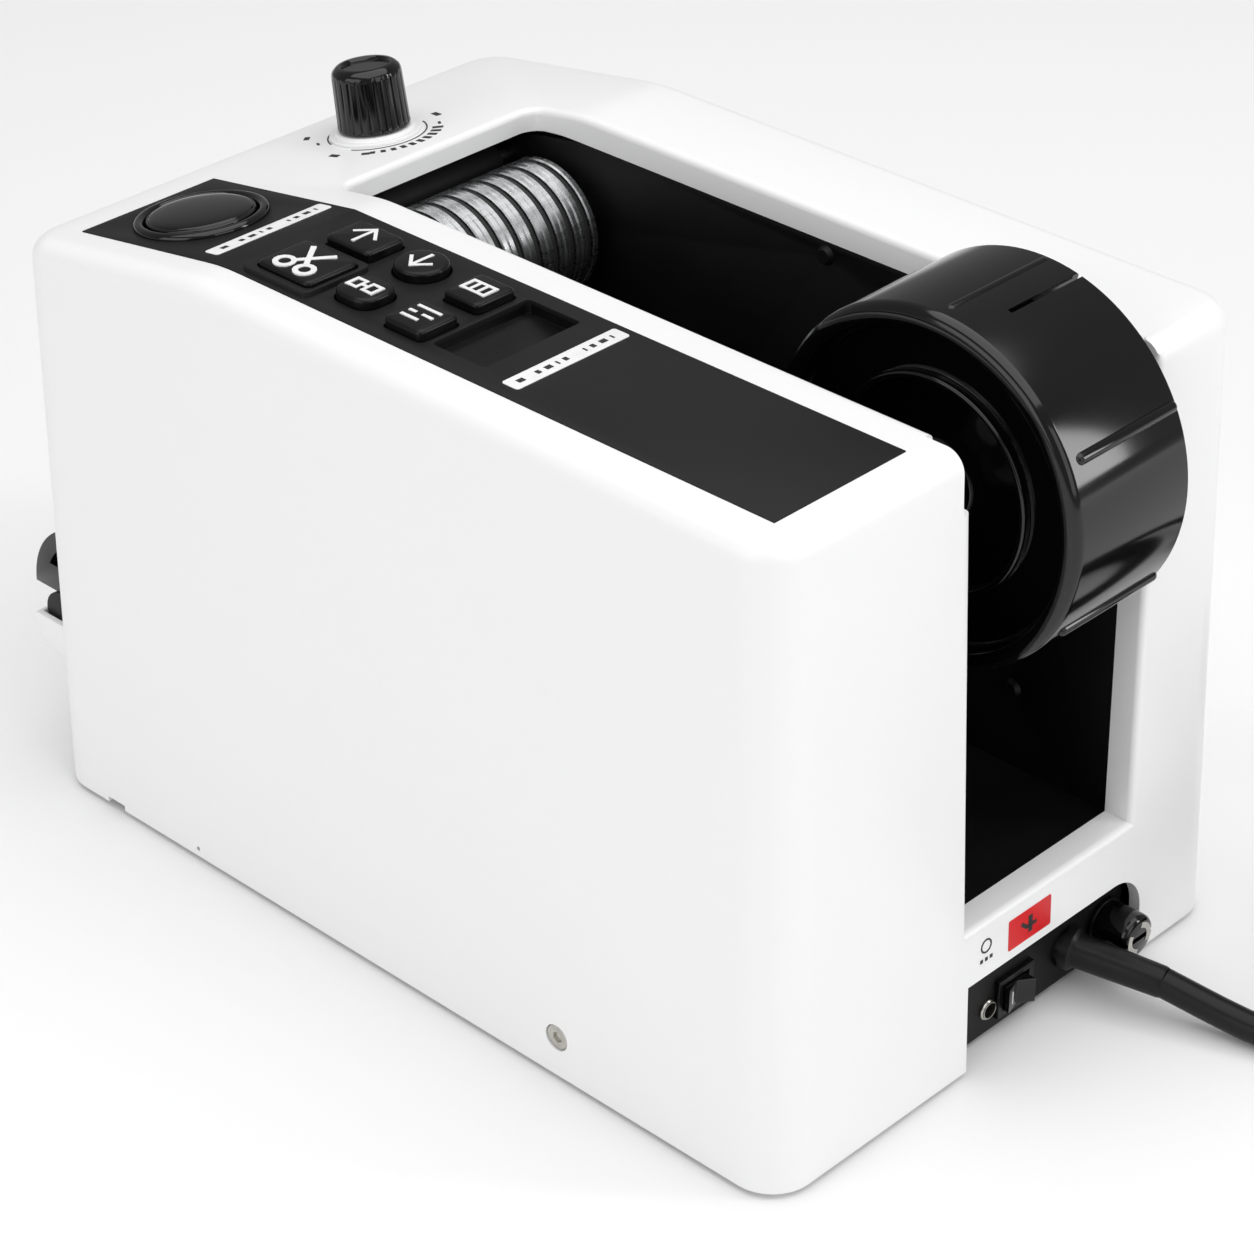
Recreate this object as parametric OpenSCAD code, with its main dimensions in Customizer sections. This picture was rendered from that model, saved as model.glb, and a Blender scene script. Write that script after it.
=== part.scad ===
// Automatic electronic tape dispenser: a bench machine that feeds adhesive tape from a reel,
// over a driven roller, to a motor-driven cutter at its front.
// +Z is up, the tape leaves towards -Y, and the control panel is on the +X side.
// The origin is on the table, under the middle of the machine.

/* [Housing] */
// Width of the housing, side to side
body_w = 140; // [116:1:168]
// Length of the housing, front to rear
body_l = 216; // [180:1:260]
// Height of the housing shell
body_h = 141; // [117:1:170]
// Length of the front part of the top that slopes down
slope_l = 56.5; // [47:0.5:68]
// How far the top falls from the bend to the front edge
slope_drop = 9.3; // [7.5:0.1:12]
// Wall of the moulded shell
wall = 2.6; // [2.1:0.1:3.2]
// Radius of the four upright corners
corner_r = 9.5; // [8:0.5:12]
// Radius of the edge round the top
edge_r = 4.5; // [4:0.25:5.5]
// How far each side leans in at the top
side_draft = 1.2; // [0.5:0.1:2]
// How far the rear face leans in at the top
rear_draft = 5; // [3:0.5:6]

/* [Tape channel] */
// Width of the far wing, from its side to the channel
far_wing_w = 31.3; // [30:0.1:38]
// Width of the channel at the table
channel_w = 51.5; // [48:0.5:62]
// How far each channel side flares out at the top
flare = 2.4; // [1:0.1:3]
// Height of the channel floor over the housing's lower edge
floor_h = 32; // [28:0.5:38]
// Height of the rear strip's upper edge
strip_top = 33.5; // [31:0.5:40]
// Height of the rear strip's lower edge
strip_bottom = 20.5; // [20:0.5:24]
// Depth of the moulded rim round the channel
rim_d = 6.2; // [5:0.1:7.5]
// Thickness of the steel frame plates
plate_t = 2; // [1.6:0.1:2.4]

/* [Reel] */
// Diameter of the reel that holds a tape core
reel_d = 75.6; // [63:0.1:90]
// Length of the reel along its axle
reel_w = 34.5; // [29:0.5:41]
// Wall of the reel
reel_wall = 2.2; // [1.8:0.1:2.6]
// Diameter of the fixed reel axle
axle_d = 8; // [6.5:0.5:9.5]
// Distance of the reel axle from the rear face
reel_back = 30; // [28:0.5:36]
// Distance of the reel axle below the top
reel_drop = 25; // [22:0.5:30]

/* [Feed] */
// Diameter of the feed roller
roller_d = 30.6; // [26:0.2:36]
// Length of the feed roller
roller_w = 50; // [42:1:52]
// Spacing of the grooves along the roller
groove_pitch = 5; // [4:0.5:6]
// Diameter of the feed roller's shaft
shaft_d = 6; // [5:0.5:7]
// Gear module of the feed drive
gear_m = 1; // [0.9:0.05:1.05]
// Teeth on the feed gear
gear_teeth = 36; // [32:2:38]
// Teeth on the motor pinion
pinion_teeth = 14; // [12:1:16]

/* [Controls] */
// Width of the black control panel
panel_w = 35.7; // [34:0.1:38]
// Distance of the panel from the front face
panel_front = 12; // [11:0.5:16]
// Distance of the panel from the rear face
panel_rear = 13.3; // [12:0.5:18]
// Spacing of the rows of keys
key_pitch = 16.6; // [15.5:0.1:18]
// How far the keys stand over the panel
key_rise = 2.5; // [2:0.1:3.2]
// Travel of a key
key_travel = 1; // [0.8:0.1:1.2]
// Clearance round a key in the panel
key_gap = 0.3; // [0.2:0.05:0.4]
// Diameter of the round start button's ring
ring_d = 28.4; // [24:0.2:30]
// Diameter of the length knob
knob_d = 15.8; // [13.2:0.2:18]
// Height of the length knob
knob_h = 14; // [12:0.5:17]

/* [Cutter] */
// How far the finger guard reaches out from the front face
guard_reach = 18.5; // [18:0.5:22]
// Width of the finger guard
guard_w = 115; // [104:1:116]
// Height of the guard's hinge pins over the table
guard_pivot_h = 58; // [56.5:0.5:60]
// Width of the cutter blades
blade_w = 52; // [50:1:53]

/* [Rear] */
// Diameter of the mains cord
cord_d = 6.4; // [5.4:0.1:7.4]
// Height of the rubber feet under the housing
foot_h = 1.5; // [1.2:0.1:2.2]

/* [Hidden] */
$fn = 48;
FIT = 0.1;        // gap between pieces that are fixed to each other
RUN = 0.06;       // radial clearance of a running fit
EPS = 0.01;

// Frame of the machine. The box of the guard, housing and reel is centred on the origin.
rib_h = 0.4;
reel_r = reel_d / 2;
reel_overhang = reel_r - reel_back;
body_y = (guard_reach - reel_overhang) / 2;
front_y = body_y - body_l / 2;
rear_y = body_y + body_l / 2;
low_z = foot_h;
top_z = foot_h + body_h;
bend_y = front_y + slope_l;
slope_a = atan(slope_drop / slope_l);
front_draft = 0.2;
far_x = -body_w / 2;
near_x = body_w / 2;

// Channel and frame plates
ch_far = far_x + far_wing_w;
ch_near = ch_far + channel_w;
ch_mid = (ch_far + ch_near) / 2;
ch_front = bend_y - 14.5;
rim_t = 2.4;
far_plate_x = ch_far - flare - FIT;      // channel face of the far plate
near_plate_x = ch_near + flare + FIT;    // channel face of the near plate
plate_front = front_y + 16;
plate_rear = rear_y - 8.2;
base_z = low_z + 0.3;
base_t = 2;
plate_in = wall + 1.9;                   // base plate's edge from the housing's side
base_top = base_z + base_t;
floor_z = low_z + floor_h;
floor_t = 2;
plate_top = top_z - rim_d - 0.3;
notch_y = rear_y - rear_draft - 9.5;
notch_z = top_z - 13;

// Feed drive, reel and controls
roller_y = bend_y - 6.5;
roller_z = top_z - 26.5;
gear_w = 5;
gear_x = far_plate_x - plate_t - 2 - gear_w;
gear_dist = gear_m * (gear_teeth + pinion_teeth) / 2 + 0.1;
motor_y = roller_y + gear_dist;
motor_r = 14;
motor_len = gear_x - 1 - (far_x + side_draft + wall + 1);
press_r = 2;
press_y = roller_y - 17.5;
press_z = roller_z + 9.5;
reel_y = rear_y - reel_back;
reel_z = top_z - reel_drop;
reel_far = far_plate_x + 5.6;
reel_near = reel_far + reel_w;
axle_r = axle_d / 2;
SCREW_SPOTS = [[body_y + 18.7, plate_top - 3], [body_y + 73, low_z + 50.6], [body_y - 30, low_z + 55]];
panel_x = (ch_near + near_x) / 2 + 0.5;
panel_y0 = front_y + panel_front;
panel_y1 = rear_y - panel_rear;
seat_d = 0.8;
panel_lift = 0.2;
key_x1 = panel_x + 7.7;
key_x2 = panel_x - 7.6;
key_y = bend_y + 14;
ring_v = -27.2;
dial_v = -34.5;
board_z = top_z - 14;
display_y = key_y + 2 * key_pitch + 14;
display_w = 26;
display_l = 14.4;
spindle_r = 2;
tab_z = top_z - 17;

// Keys: middle in X and Y, width, length and corner radius
CUT = [key_x1, key_y, 13.6, 15.4, 1.6];
FEED = [key_x2, key_y, 10.2, 12.8, 1.4];
BACK = [key_x2 - 0.1, key_y + key_pitch - 0.3, 11.2, 11.2, 5.5];
MODE = [key_x1, key_y + key_pitch, 9.8, 10.6, 3.6];
LENGTH = [key_x1 + 0.8, key_y + 2 * key_pitch, 10.4, 10.6, 1.4];
COUNT = [key_x2 + 0.6, key_y + 2 * key_pitch, 10.8, 9.8, 1.4];
ALL_KEYS = [CUT, FEED, BACK, MODE, LENGTH, COUNT];

// Transformer, power board and feet
core_x = near_x - 28;
core_y = body_y + 10;
board_x = near_x - 31;
board_y = body_y - 56;
foot_x = body_w / 2 - 14;
foot_y = body_l / 2 - 20;
side_screw_y = body_y + 49.5;
side_screw_z = low_z + 9.2;

// Rear connectors, on the base plate's upstand
upstand_y = rear_y - 5.2;
jack_x = ch_near - 12.3;
jack_z = low_z + 6.3;
switch_x = ch_near - 20.3;
switch_z = low_z + 7.3;
rocker_y = upstand_y - 1.8;
fuse_x = ch_far + 1.4;
fuse_z = low_z + 8.6;
fuse_r = 4.5;
fuse_bore = 2.8;
recess_x = fuse_x - 6.2;                 // rounded end of the rear recess
grip_x = ch_far + 13.4;
grip_z = low_z + 8.3;
grip_at = [grip_x, upstand_y + 1, grip_z];

// Cutter, tray and guard
tray_z = low_z + 24.6;
tray_top = low_z + 32.4;
tray_reach = 14.5;
tray_w = 124;
window_w = 66;
window_top = guard_pivot_h - 4;
slot_z = low_z + 45.3;                   // underside of the tape's way out
slot_h = 3.8;
blade_y = front_y + 5.4;                 // face where the two blades meet
pivot_y = front_y + 34;
pivot_z = low_z + 46.5;
pivot_r = 2.5;
sector_teeth = 24;
cutter_teeth = 12;
cutter_dist = gear_m * (sector_teeth + cutter_teeth) / 2 + 0.1;
sector_x = ch_mid + blade_w / 2 - 5;
guard_x = guard_w / 2;
guard_r = guard_reach + 0.3;
cheek_t = 4;
rib_x = guard_x - cheek_t - 2.4;
pin_r = 1.5;
lug_w = 4;
lug_x = guard_x - cheek_t - 0.4 - lug_w / 2;
hinge_y = front_y - 3.7;
delivery_y = front_y - 6.9;
delivery_z = low_z + 33.3;
delivery_r = 5.4;

// Route of the mains cord from its grip to its coil, then from the coil to the plug
CORD_ROUTE = [[-30.9, 129, 8.1], [-32.2, 134, 6.9], [-33.4, 138.5, 5.8], [-34.6, 143, 4.8],
    [-35.8, 148, 4], [-37.4, 154, 3.5], [-39.6, 160, 3.3], [-42.4, 166.5, 3.3], [-45.2, 172.6, 3.3],
    [-47.7, 178, 3.3]];
LEAD_ROUTE = [[-39.2, 24.8, 10], [-45.5, 18.2, 10.4], [-50.6, 10.6, 10.9], [-54.4, 2.2, 11.4],
    [-56.6, -6.6, 11.9], [-57.2, -15.8, 12.1]];
COIL_AT = [-97.5, 179, 0.1];
coil_r = 38.4;                           // radius at the middle of the turns
plug_at = LEAD_ROUTE[5];                 // from the coil's middle

function surf_z(y) = y > bend_y ? top_z : top_z - (bend_y - y) * tan(slope_a);
function plate_end(z) = rear_y - rear_draft * (z - low_z) / body_h - rim_d - 0.9;
function flare_at(z) = flare * (z - low_z) / body_h;

// ---- shared shapes ----

// Lies along X: a cylinder from x0 to x1
module rod_x(x0, x1, r) translate([x0, 0, 0]) rotate([0, 90, 0]) cylinder(r = r, h = x1 - x0);
// Lies along Y: a cylinder from y0 to y1
module rod_y(y0, y1, r) translate([0, y0, 0]) rotate([-90, 0, 0]) cylinder(r = r, h = y1 - y0);
// Upright block with round corners, centred in X and Y
module pad(w, l, h, r) {
    translate([-w / 2 + r, -l / 2, 0]) cube([w - 2 * r, l, h]);
    translate([-w / 2, -l / 2 + r, 0]) cube([w, l - 2 * r, h]);
    for (x = [-1, 1], y = [-1, 1])
        translate([x * (w / 2 - r), y * (l / 2 - r), 0]) cylinder(r = r, h = h);
}
// Block between two corners
module block(a, b) translate(a) cube(b - a);
// Carries children from the YZ plane, at x0, through a width w
module along_x(x0, w) translate([x0, 0, 0]) rotate([90, 0, 90]) linear_extrude(w) children();
// Puts children on the sloping front of the top, measured from the bend
module on_slope(v) translate([0, bend_y, top_z]) rotate([slope_a, 0, 0]) translate([0, v, 0]) children();
// Sheet that follows the top from height h0 to h1 over it
module top_sheet(x0, w, y0, y1, h0, h1)
    along_x(x0, w) polygon([[y0, surf_z(y0) + h0], [bend_y, top_z + h0], [y1, top_z + h0],
        [y1, top_z + h1], [bend_y, top_z + h1], [y0, surf_z(y0) + h1]]);
// Spur gear along X, one tooth pointing at angle a from +Y towards +Z
module gear(teeth, w, a) {
    pitch_r = gear_m * teeth / 2;
    step = 360 / teeth;
    root_r = pitch_r - 1.25 * gear_m;
    tip_r = pitch_r + 0.9 * gear_m;
    rotate([90, 0, 90]) linear_extrude(w) polygon([for (i = [0 : teeth - 1]) for (p = [[-0.31, root_r],
        [-0.2, pitch_r], [-0.09, tip_r], [0.09, tip_r], [0.2, pitch_r], [0.31, root_r]])
        p[1] * [cos(a + (i + p[0]) * step), sin(a + (i + p[0]) * step)]]);
}

// ---- housing ----

// Body of the housing, inset by a wall
module body_solid(inset) {
    drop = edge_r / cos(slope_a) - edge_r * tan(slope_a);
    hull() {
        for (sx = [-1, 1], sy = [-1, 1]) {
            lean = sy > 0 ? rear_draft : front_draft;
            top = sy > 0 ? top_z - edge_r : top_z - slope_drop - drop;
            translate([sx * (body_w / 2 - corner_r), body_y + sy * (body_l / 2 - corner_r), low_z])
                cylinder(r = corner_r - inset, h = 0.2, $fn = 32);
            translate([sx * (body_w / 2 - side_draft - corner_r),
                body_y + sy * (body_l / 2 - corner_r - lean), top])
                rotate_extrude($fn = 32) translate([corner_r - edge_r, 0])
                    circle(r = edge_r - inset, $fn = 20);
        }
        for (sx = [-1, 1])
            translate([sx * (body_w / 2 - side_draft - edge_r), bend_y, top_z - edge_r])
                sphere(r = edge_r - inset, $fn = 20);
    }
}
// Space of the tape channel above height z, widened by grow
module channel_space(z, grow) {
    r = 4;
    hull() for (h = [z, top_z + 4]) {
        for (x = [ch_far - flare_at(h) - grow + r, ch_near + flare_at(h) + grow - r])
            translate([x, ch_front - grow + r, h]) cylinder(r = r, h = 0.1, $fn = 24);
        block([ch_far - flare_at(h) - grow, rear_y, h], [ch_near + flare_at(h) + grow, rear_y + 6, h + 0.1]);
    }
}
// Opening for the rear connectors
module rear_recess() {
    r = 9;
    x0 = recess_x;
    block([x0 + r, upstand_y - 8, 0], [ch_near, rear_y + 2, low_z + strip_bottom]);
    block([x0, upstand_y - 8, 0], [x0 + r + 1, rear_y + 2, low_z + strip_bottom - r]);
    translate([x0 + r, 0, low_z + strip_bottom - r]) rod_y(upstand_y - 8, rear_y + 2, r);
}
module housing() color("white") difference() {
    union() {
        difference() {
            body_solid(0);
            translate([0, 0, -EPS]) body_solid(wall);
        }
        intersection() {
            difference() {
                body_solid(0);
                translate([0, -rim_d, -rim_d]) body_solid(0);
            }
            union() {
                channel_space(low_z + strip_bottom, rim_t);
                block([recess_x - 1.5, rear_y - 20, low_z + strip_bottom],
                    [ch_near + rim_t, rear_y + 2, low_z + strip_top]);
            }
        }
    }
    channel_space(low_z + strip_top, 0);
    rear_recess();
    // Notch at the channel's rear corner
    block([ch_near - 5, notch_y, notch_z], [ch_near + 4.6, rear_y + 2, top_z + 3]);
    // Seat and opening of the control panel
    top_sheet(panel_x - panel_w / 2, panel_w, panel_y0, panel_y1, -seat_d, 3);
    top_sheet(panel_x - panel_w / 2 + 2.5, panel_w - 5, panel_y0 + 3, display_y + 14, -wall - 3, 3);
    // Holes for the length knob's bush and for the side screws
    on_slope(dial_v) translate([ch_mid, 0, -wall - 3]) cylinder(d = 7.4, h = wall + 6);
    for (side = [-1, 1]) translate([side * near_x, side_screw_y, side_screw_z]) {
        rod_x(-6, 6, 1.7);
        rod_x(side > 0 ? -1.4 : -3, side > 0 ? 3 : 1.4, 3);
    }
    translate([near_x, body_y - 59.6, low_z + 1.9]) rod_x(-4, 4, 0.6);
    block([near_x - 4, body_y - 90, 0], [near_x + 2, body_y - 84.5, low_z + 1.3]);
    // Window for the cutter
    block([ch_mid - window_w / 2, front_y - 2, tray_top + 0.1],
        [ch_mid + window_w / 2, front_y + wall + 3, window_top]);
    // Slots that hold the tray's tongues
    for (x = [-40, 40])
        block([x - 4.1, front_y - 2, tray_z + 1.9], [x + 4.1, front_y + wall + 2, tray_z + 4.1]);
    for (x = [-1, 1]) translate([x * lug_x, 0, guard_pivot_h]) rod_y(front_y - 2, front_y + wall + 3, 1.6);
    // Slot for the release tab
    block([ch_mid - 3.2, front_y - 2, tab_z - 2.2], [ch_mid + 3.2, front_y + wall + 3, tab_z + 2.2]);
}

// ---- controls ----

module key_shape(k, z0, z1, grow)
    translate([k[0], k[1], z0]) pad(k[2] + 2 * grow, k[3] + 2 * grow, z1 - z0, k[4]);
module key(k) color("#161616") difference() {
    union() {
        key_shape(k, top_z - 5.2, top_z + key_rise + 0.2, 0);
        key_shape(k, top_z - 2.6, top_z - seat_d - 0.3, 0.7);
    }
    key_shape(k, top_z - 6, top_z - 3.6, -2.2);
}
module control_panel() color("#232323") difference() {
    union() {
        top_sheet(panel_x - panel_w / 2 + FIT, panel_w - 2 * FIT, panel_y0 + FIT, panel_y1 - FIT,
            -seat_d, panel_lift);
        // Raised frame round the cut key
        translate([0, -0.6, 0]) key_shape(CUT, top_z - 0.2, top_z + panel_lift + 1.1, 1.9);
    }
    for (k = ALL_KEYS) key_shape(k, top_z - 2, top_z + 2, key_gap);
    on_slope(ring_v) translate([panel_x + 0.4, 0, -3]) cylinder(d = ring_d - 3, h = 6);
    translate([panel_x - 0.6, display_y, top_z - 3]) pad(display_w, display_l, 5, 1);
}
module display_window() color("#303030")
    translate([panel_x - 0.6, display_y, top_z - 4.2]) difference() {
        pad(display_w + 1, display_l + 1, 4.2 - seat_d, 1);
        translate([0, 0, 1.5]) pad(display_w, display_l, 5, 1);
    }
module display_module() color("#20402c") translate([panel_x - 0.6, display_y, board_z + 1.6])
    pad(display_w, display_l + 0.6, top_z - 4.2 - board_z - 1.6, 1);
module control_board() color("#1f5c38") {
    l = display_y + 11 - (key_y - 12);
    translate([panel_x, key_y - 12 + l / 2, board_z]) {
        pad(panel_w + 4, l, 1.6, 1);
        // Pillars up to the shell
        for (x = [-1, 1], y = [-1, 1]) translate([x * (panel_w / 2 - 0.2), y * (l / 2 - 4), 1.6])
            cylinder(d = 4.4, h = top_z - wall - 0.05 - board_z - 1.6);
    }
    for (k = ALL_KEYS) translate([k[0], k[1], board_z + 1.6]) {
        pad(6, 6, 3.4, 0.5);
        cylinder(d = 3.4, h = top_z - 4 - key_travel - board_z - 1.6);
    }
}
module start_ring() color("#141414") on_slope(ring_v) translate([panel_x + 0.4, 0, 0]) difference() {
    union() {
        translate([0, 0, panel_lift]) cylinder(d = ring_d, h = 0.8);
        translate([0, 0, -6]) cylinder(d = ring_d - 3.4, h = 6.2 + panel_lift);
    }
    translate([0, 0, -4.5]) cylinder(d = ring_d - 4.8, h = 8);
    translate([0, 0, -8]) cylinder(d = 12, h = 10);
}
module start_button() color("#181818") on_slope(ring_v) translate([panel_x + 0.4, 0, 0]) {
    translate([0, 0, -2.8]) cylinder(d = ring_d - 5.4, h = 4.2);
    translate([0, 0, 1.4]) cylinder(d = ring_d - 6.6, h = 0.6);
    translate([0, 0, 2]) cylinder(d = ring_d - 10, h = 0.3);
    translate([0, 0, -5.6]) cylinder(d = 6, h = 3);
}
module cut_key() key(CUT);
module feed_key() key(FEED);
module back_key() key(BACK);
module mode_key() key(MODE);
module length_key() key(LENGTH);
module count_key() key(COUNT);

module length_knob() color("#151515") on_slope(dial_v) translate([ch_mid, 0, 0]) difference() {
    union() {
        translate([0, 0, 1.8]) cylinder(d1 = knob_d, d2 = knob_d - 0.8, h = knob_h - 1.2);
        translate([0, 0, knob_h + 0.6]) cylinder(d1 = knob_d - 0.8, d2 = knob_d - 3, h = 1.1);
        // Spindle, down into the potentiometer's bush
        translate([0, 0, -wall - 1]) cylinder(r = spindle_r, h = wall + 4);
    }
    translate([0, 0, knob_h + 0.9]) cylinder(d = knob_d - 5.6, h = 2);
}
module knob_collar() color("white") on_slope(dial_v) translate([ch_mid, 0, 0]) difference() {
    union() {
        cylinder(d = 20, h = 0.8);
        cylinder(d = 17, h = 1.4);
    }
    translate([0, 0, -1]) cylinder(d = 7.2, h = 4);
}
module potentiometer() color("silver") on_slope(dial_v) translate([ch_mid, 0, 0]) difference() {
    union() {
        translate([0, 0, -wall - 7]) cylinder(d = 12, h = 6.6);
        translate([0, 0, -wall - 0.5]) cylinder(d = 6.8, h = wall + 1.9);
    }
    translate([0, 0, -wall - 1.2]) cylinder(r = spindle_r + RUN, h = 8);
}

// ---- chassis ----

module base_plate() color("#1b1b1b") difference() {
    union() {
        block([far_x + plate_in, front_y + 6, base_z], [near_x - plate_in, upstand_y, base_top]);
        block([recess_x + 0.2, upstand_y - plate_t, base_z],
            [ch_near - FIT, upstand_y, low_z + strip_bottom - 0.3]);
        for (side = [-1, 1]) translate([side * (near_x - plate_in - 1), side_screw_y, base_z + 7])
            cube([2, 15, 14], center = true);
    }
    translate([recess_x + 0.2, 0, low_z + strip_bottom - 0.3]) rotate([0, 45, 0])
        block([-4, upstand_y - 4, -4], [4, upstand_y + 2, 4]);
    translate([jack_x, 0, jack_z]) rod_y(upstand_y - 5, upstand_y + 5, 2.2 + FIT);
    block([switch_x - 4.9, upstand_y - 5, switch_z - 4], [switch_x + 4.9, upstand_y + 5, switch_z + 4]);
    translate([fuse_x, 0, fuse_z]) rod_y(upstand_y - 5, upstand_y + 5, fuse_r + FIT);
    translate([grip_x, 0, grip_z]) rod_y(upstand_y - 5, upstand_y + 5, 4 + FIT);
    for (side = [-1, 1])
        translate([side * (near_x - plate_in), side_screw_y, side_screw_z]) rod_x(-3, 3, 1.3);
    for (x = [-1, 1], y = [-1, 1]) translate([x * foot_x, body_y + y * foot_y, 0]) cylinder(r = 2.1, h = 6);
}
module feet() color("#101010") for (x = [-1, 1], y = [-1, 1])
    translate([x * foot_x, body_y + y * foot_y, 0]) {
        cylinder(d1 = 12, d2 = 13, h = base_z);
        cylinder(r = 2, h = base_top + 1.2);
        translate([0, 0, base_top]) cylinder(r = 3, h = 1.2);
    }
// Outline of a frame plate in the YZ plane, behind the rim
module plate_outline() {
    step_z = low_z + strip_bottom;
    polygon([[plate_front, base_top], [upstand_y - plate_t - 0.5, base_top],
        [upstand_y - plate_t - 0.5, step_z], [plate_end(step_z), step_z], [plate_end(plate_top), plate_top],
        [bend_y, plate_top], [plate_front, surf_z(plate_front) - rim_d - 0.3]]);
}
module frame_plate(x0) difference() {
    along_x(x0, plate_t) plate_outline();
    translate([x0 - 1, 0, 0]) {
        translate([0, roller_y, roller_z]) rod_x(0, plate_t + 2, shaft_d / 2 + 2);
        translate([0, press_y, press_z]) rod_x(0, plate_t + 2, press_r + 0.02);
        translate([0, reel_y, reel_z]) rod_x(0, plate_t + 2, axle_r + 0.02);
        translate([0, pivot_y, pivot_z]) rod_x(0, plate_t + 2, pivot_r + RUN);
        for (p = SCREW_SPOTS) translate([0, p[0], p[1]]) rod_x(0, plate_t + 2, 1.3);
    }
}
module far_frame_plate() color("#151515") frame_plate(far_plate_x - plate_t);
module near_frame_plate() color("#151515") difference() {
    frame_plate(near_plate_x);
    translate([near_plate_x - 1, pivot_y, pivot_z + cutter_dist]) rod_x(0, plate_t + 2, 3.5);
    // Clear of the notch in the housing's rear corner
    block([near_plate_x - 1, notch_y - 1, notch_z - 1], [near_plate_x + plate_t + 1, rear_y, top_z]);
}
module channel_floor() color("#151515") {
    block([far_plate_x + EPS, ch_front + 6, floor_z - floor_t], [near_plate_x - EPS, plate_rear, floor_z]);
    for (y = [ch_front + 8, rear_y - 42])
        block([far_plate_x + 0.5, y, base_top], [near_plate_x - 0.5, y + 2, floor_z - floor_t]);
}
module tape_guide() color("#151515") {
    x0 = far_plate_x + EPS;
    x1 = near_plate_x - EPS;
    block([x0, front_y + 18, pivot_z + 16], [x1, front_y + 19.6, roller_z - 18]);
    block([x0, front_y + 18, roller_z - 19.6], [x1, roller_y - 8, roller_z - 18]);
}
module frame_screws() color("#303030") for (p = SCREW_SPOTS, side = [0, 1]) {
    x = side == 0 ? far_plate_x : near_plate_x;
    dir = side == 0 ? 1 : -1;
    translate([x, p[0], p[1]]) rotate([0, dir * 90, 0]) {
        cylinder(d1 = 4.4, d2 = 3, h = 1);
        translate([0, 0, -plate_t - 1]) cylinder(d = 2.4, h = plate_t + 1);
    }
}
module side_screws() color("silver") for (side = [-1, 1])
    translate([side * near_x, side_screw_y, side_screw_z]) rotate([0, side * 90, 0]) difference() {
        union() {
            translate([0, 0, -8]) cylinder(d = 2.5, h = 7);
            translate([0, 0, -1.4]) cylinder(d = 5.4, h = 1);
        }
        translate([0, 0, -0.9]) cylinder(d = 2.6, h = 2, $fn = 6);
    }

// ---- feed drive ----

module feed_roller() color("#c9ccd0") translate([0, roller_y, roller_z]) {
    n = floor(roller_w / groove_pitch);
    difference() {
        rod_x(ch_mid - roller_w / 2, ch_mid + roller_w / 2, roller_d / 2);
        for (i = [0 : n - 1]) translate([ch_mid + (i - (n - 1) / 2) * groove_pitch, 0, 0]) rotate([0, 90, 0])
            difference() {
                translate([0, 0, -0.8]) cylinder(r = roller_d / 2 + 1, h = 1.6);
                translate([0, 0, -1]) cylinder(r = roller_d / 2 - 1.6, h = 2);
            }
        rod_x(ch_mid - roller_w / 2 - 1, ch_mid + roller_w / 2 + 1, shaft_d / 2 + 0.02);
    }
}
module roller_rings() color("#202020") translate([0, roller_y, roller_z]) {
    n = floor(roller_w / groove_pitch);
    for (i = [0 : n - 1]) translate([ch_mid + (i - (n - 1) / 2) * groove_pitch, 0, 0]) rotate([0, 90, 0])
        difference() {
            translate([0, 0, -0.6]) cylinder(r = roller_d / 2 - 0.5, h = 1.2);
            translate([0, 0, -1]) cylinder(r = roller_d / 2 - 1.6, h = 2);
        }
}
module roller_shaft() color("silver") translate([0, roller_y, roller_z]) {
    rod_x(gear_x - 1, near_plate_x + plate_t + 2, shaft_d / 2);
    for (x = [far_plate_x + 1.2, near_plate_x - 2.2]) rod_x(x, x + 1, shaft_d / 2 + 1.6);
}
module roller_bushes() color("#b08d57") for (x = [far_plate_x - plate_t, near_plate_x])
    translate([x, roller_y, roller_z]) difference() {
        rod_x(0, plate_t, shaft_d / 2 + 2);
        rod_x(-1, plate_t + 1, shaft_d / 2 + RUN);
    }
module feed_gear() color("#e8e4d8") translate([gear_x, roller_y, roller_z]) difference() {
    gear(gear_teeth, gear_w, 0);
    rod_x(-1, gear_w + 1, shaft_d / 2 + 0.02);
}
module motor_pinion() color("#c8a850") translate([gear_x, motor_y, roller_z]) difference() {
    gear(pinion_teeth, gear_w, 180 + 180 / pinion_teeth);
    rod_x(-1, gear_w + 1, 1.5 + 0.02);
}
module feed_motor() color("#b8bcc0") translate([0, motor_y, roller_z]) {
    rod_x(gear_x - 1 - motor_len, gear_x - 1, motor_r);
    rod_x(gear_x - 1.1, gear_x + gear_w - 0.4, 1.5 - RUN);
    // Ears and the two posts that hold the motor on the frame plate
    for (z = [-17, 17]) {
        block([gear_x - 2.4, -3.6, min(z, 0)], [gear_x - 1.2, 3.6, max(z, 0)]);
        translate([0, 0, z]) rod_x(gear_x - 2.4, far_plate_x - plate_t - EPS, 2.4);
    }
}
module press_roller() color("#2a2a2a") translate([0, press_y, press_z]) difference() {
    rod_x(ch_mid - roller_w / 2, ch_mid + roller_w / 2, 3.6);
    rod_x(ch_mid - roller_w / 2 - 1, ch_mid + roller_w / 2 + 1, press_r + RUN);
}
module press_shaft() color("silver") translate([0, press_y, press_z])
    rod_x(far_plate_x - plate_t - 1, near_plate_x + plate_t + 1, press_r);

// ---- reel ----

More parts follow.
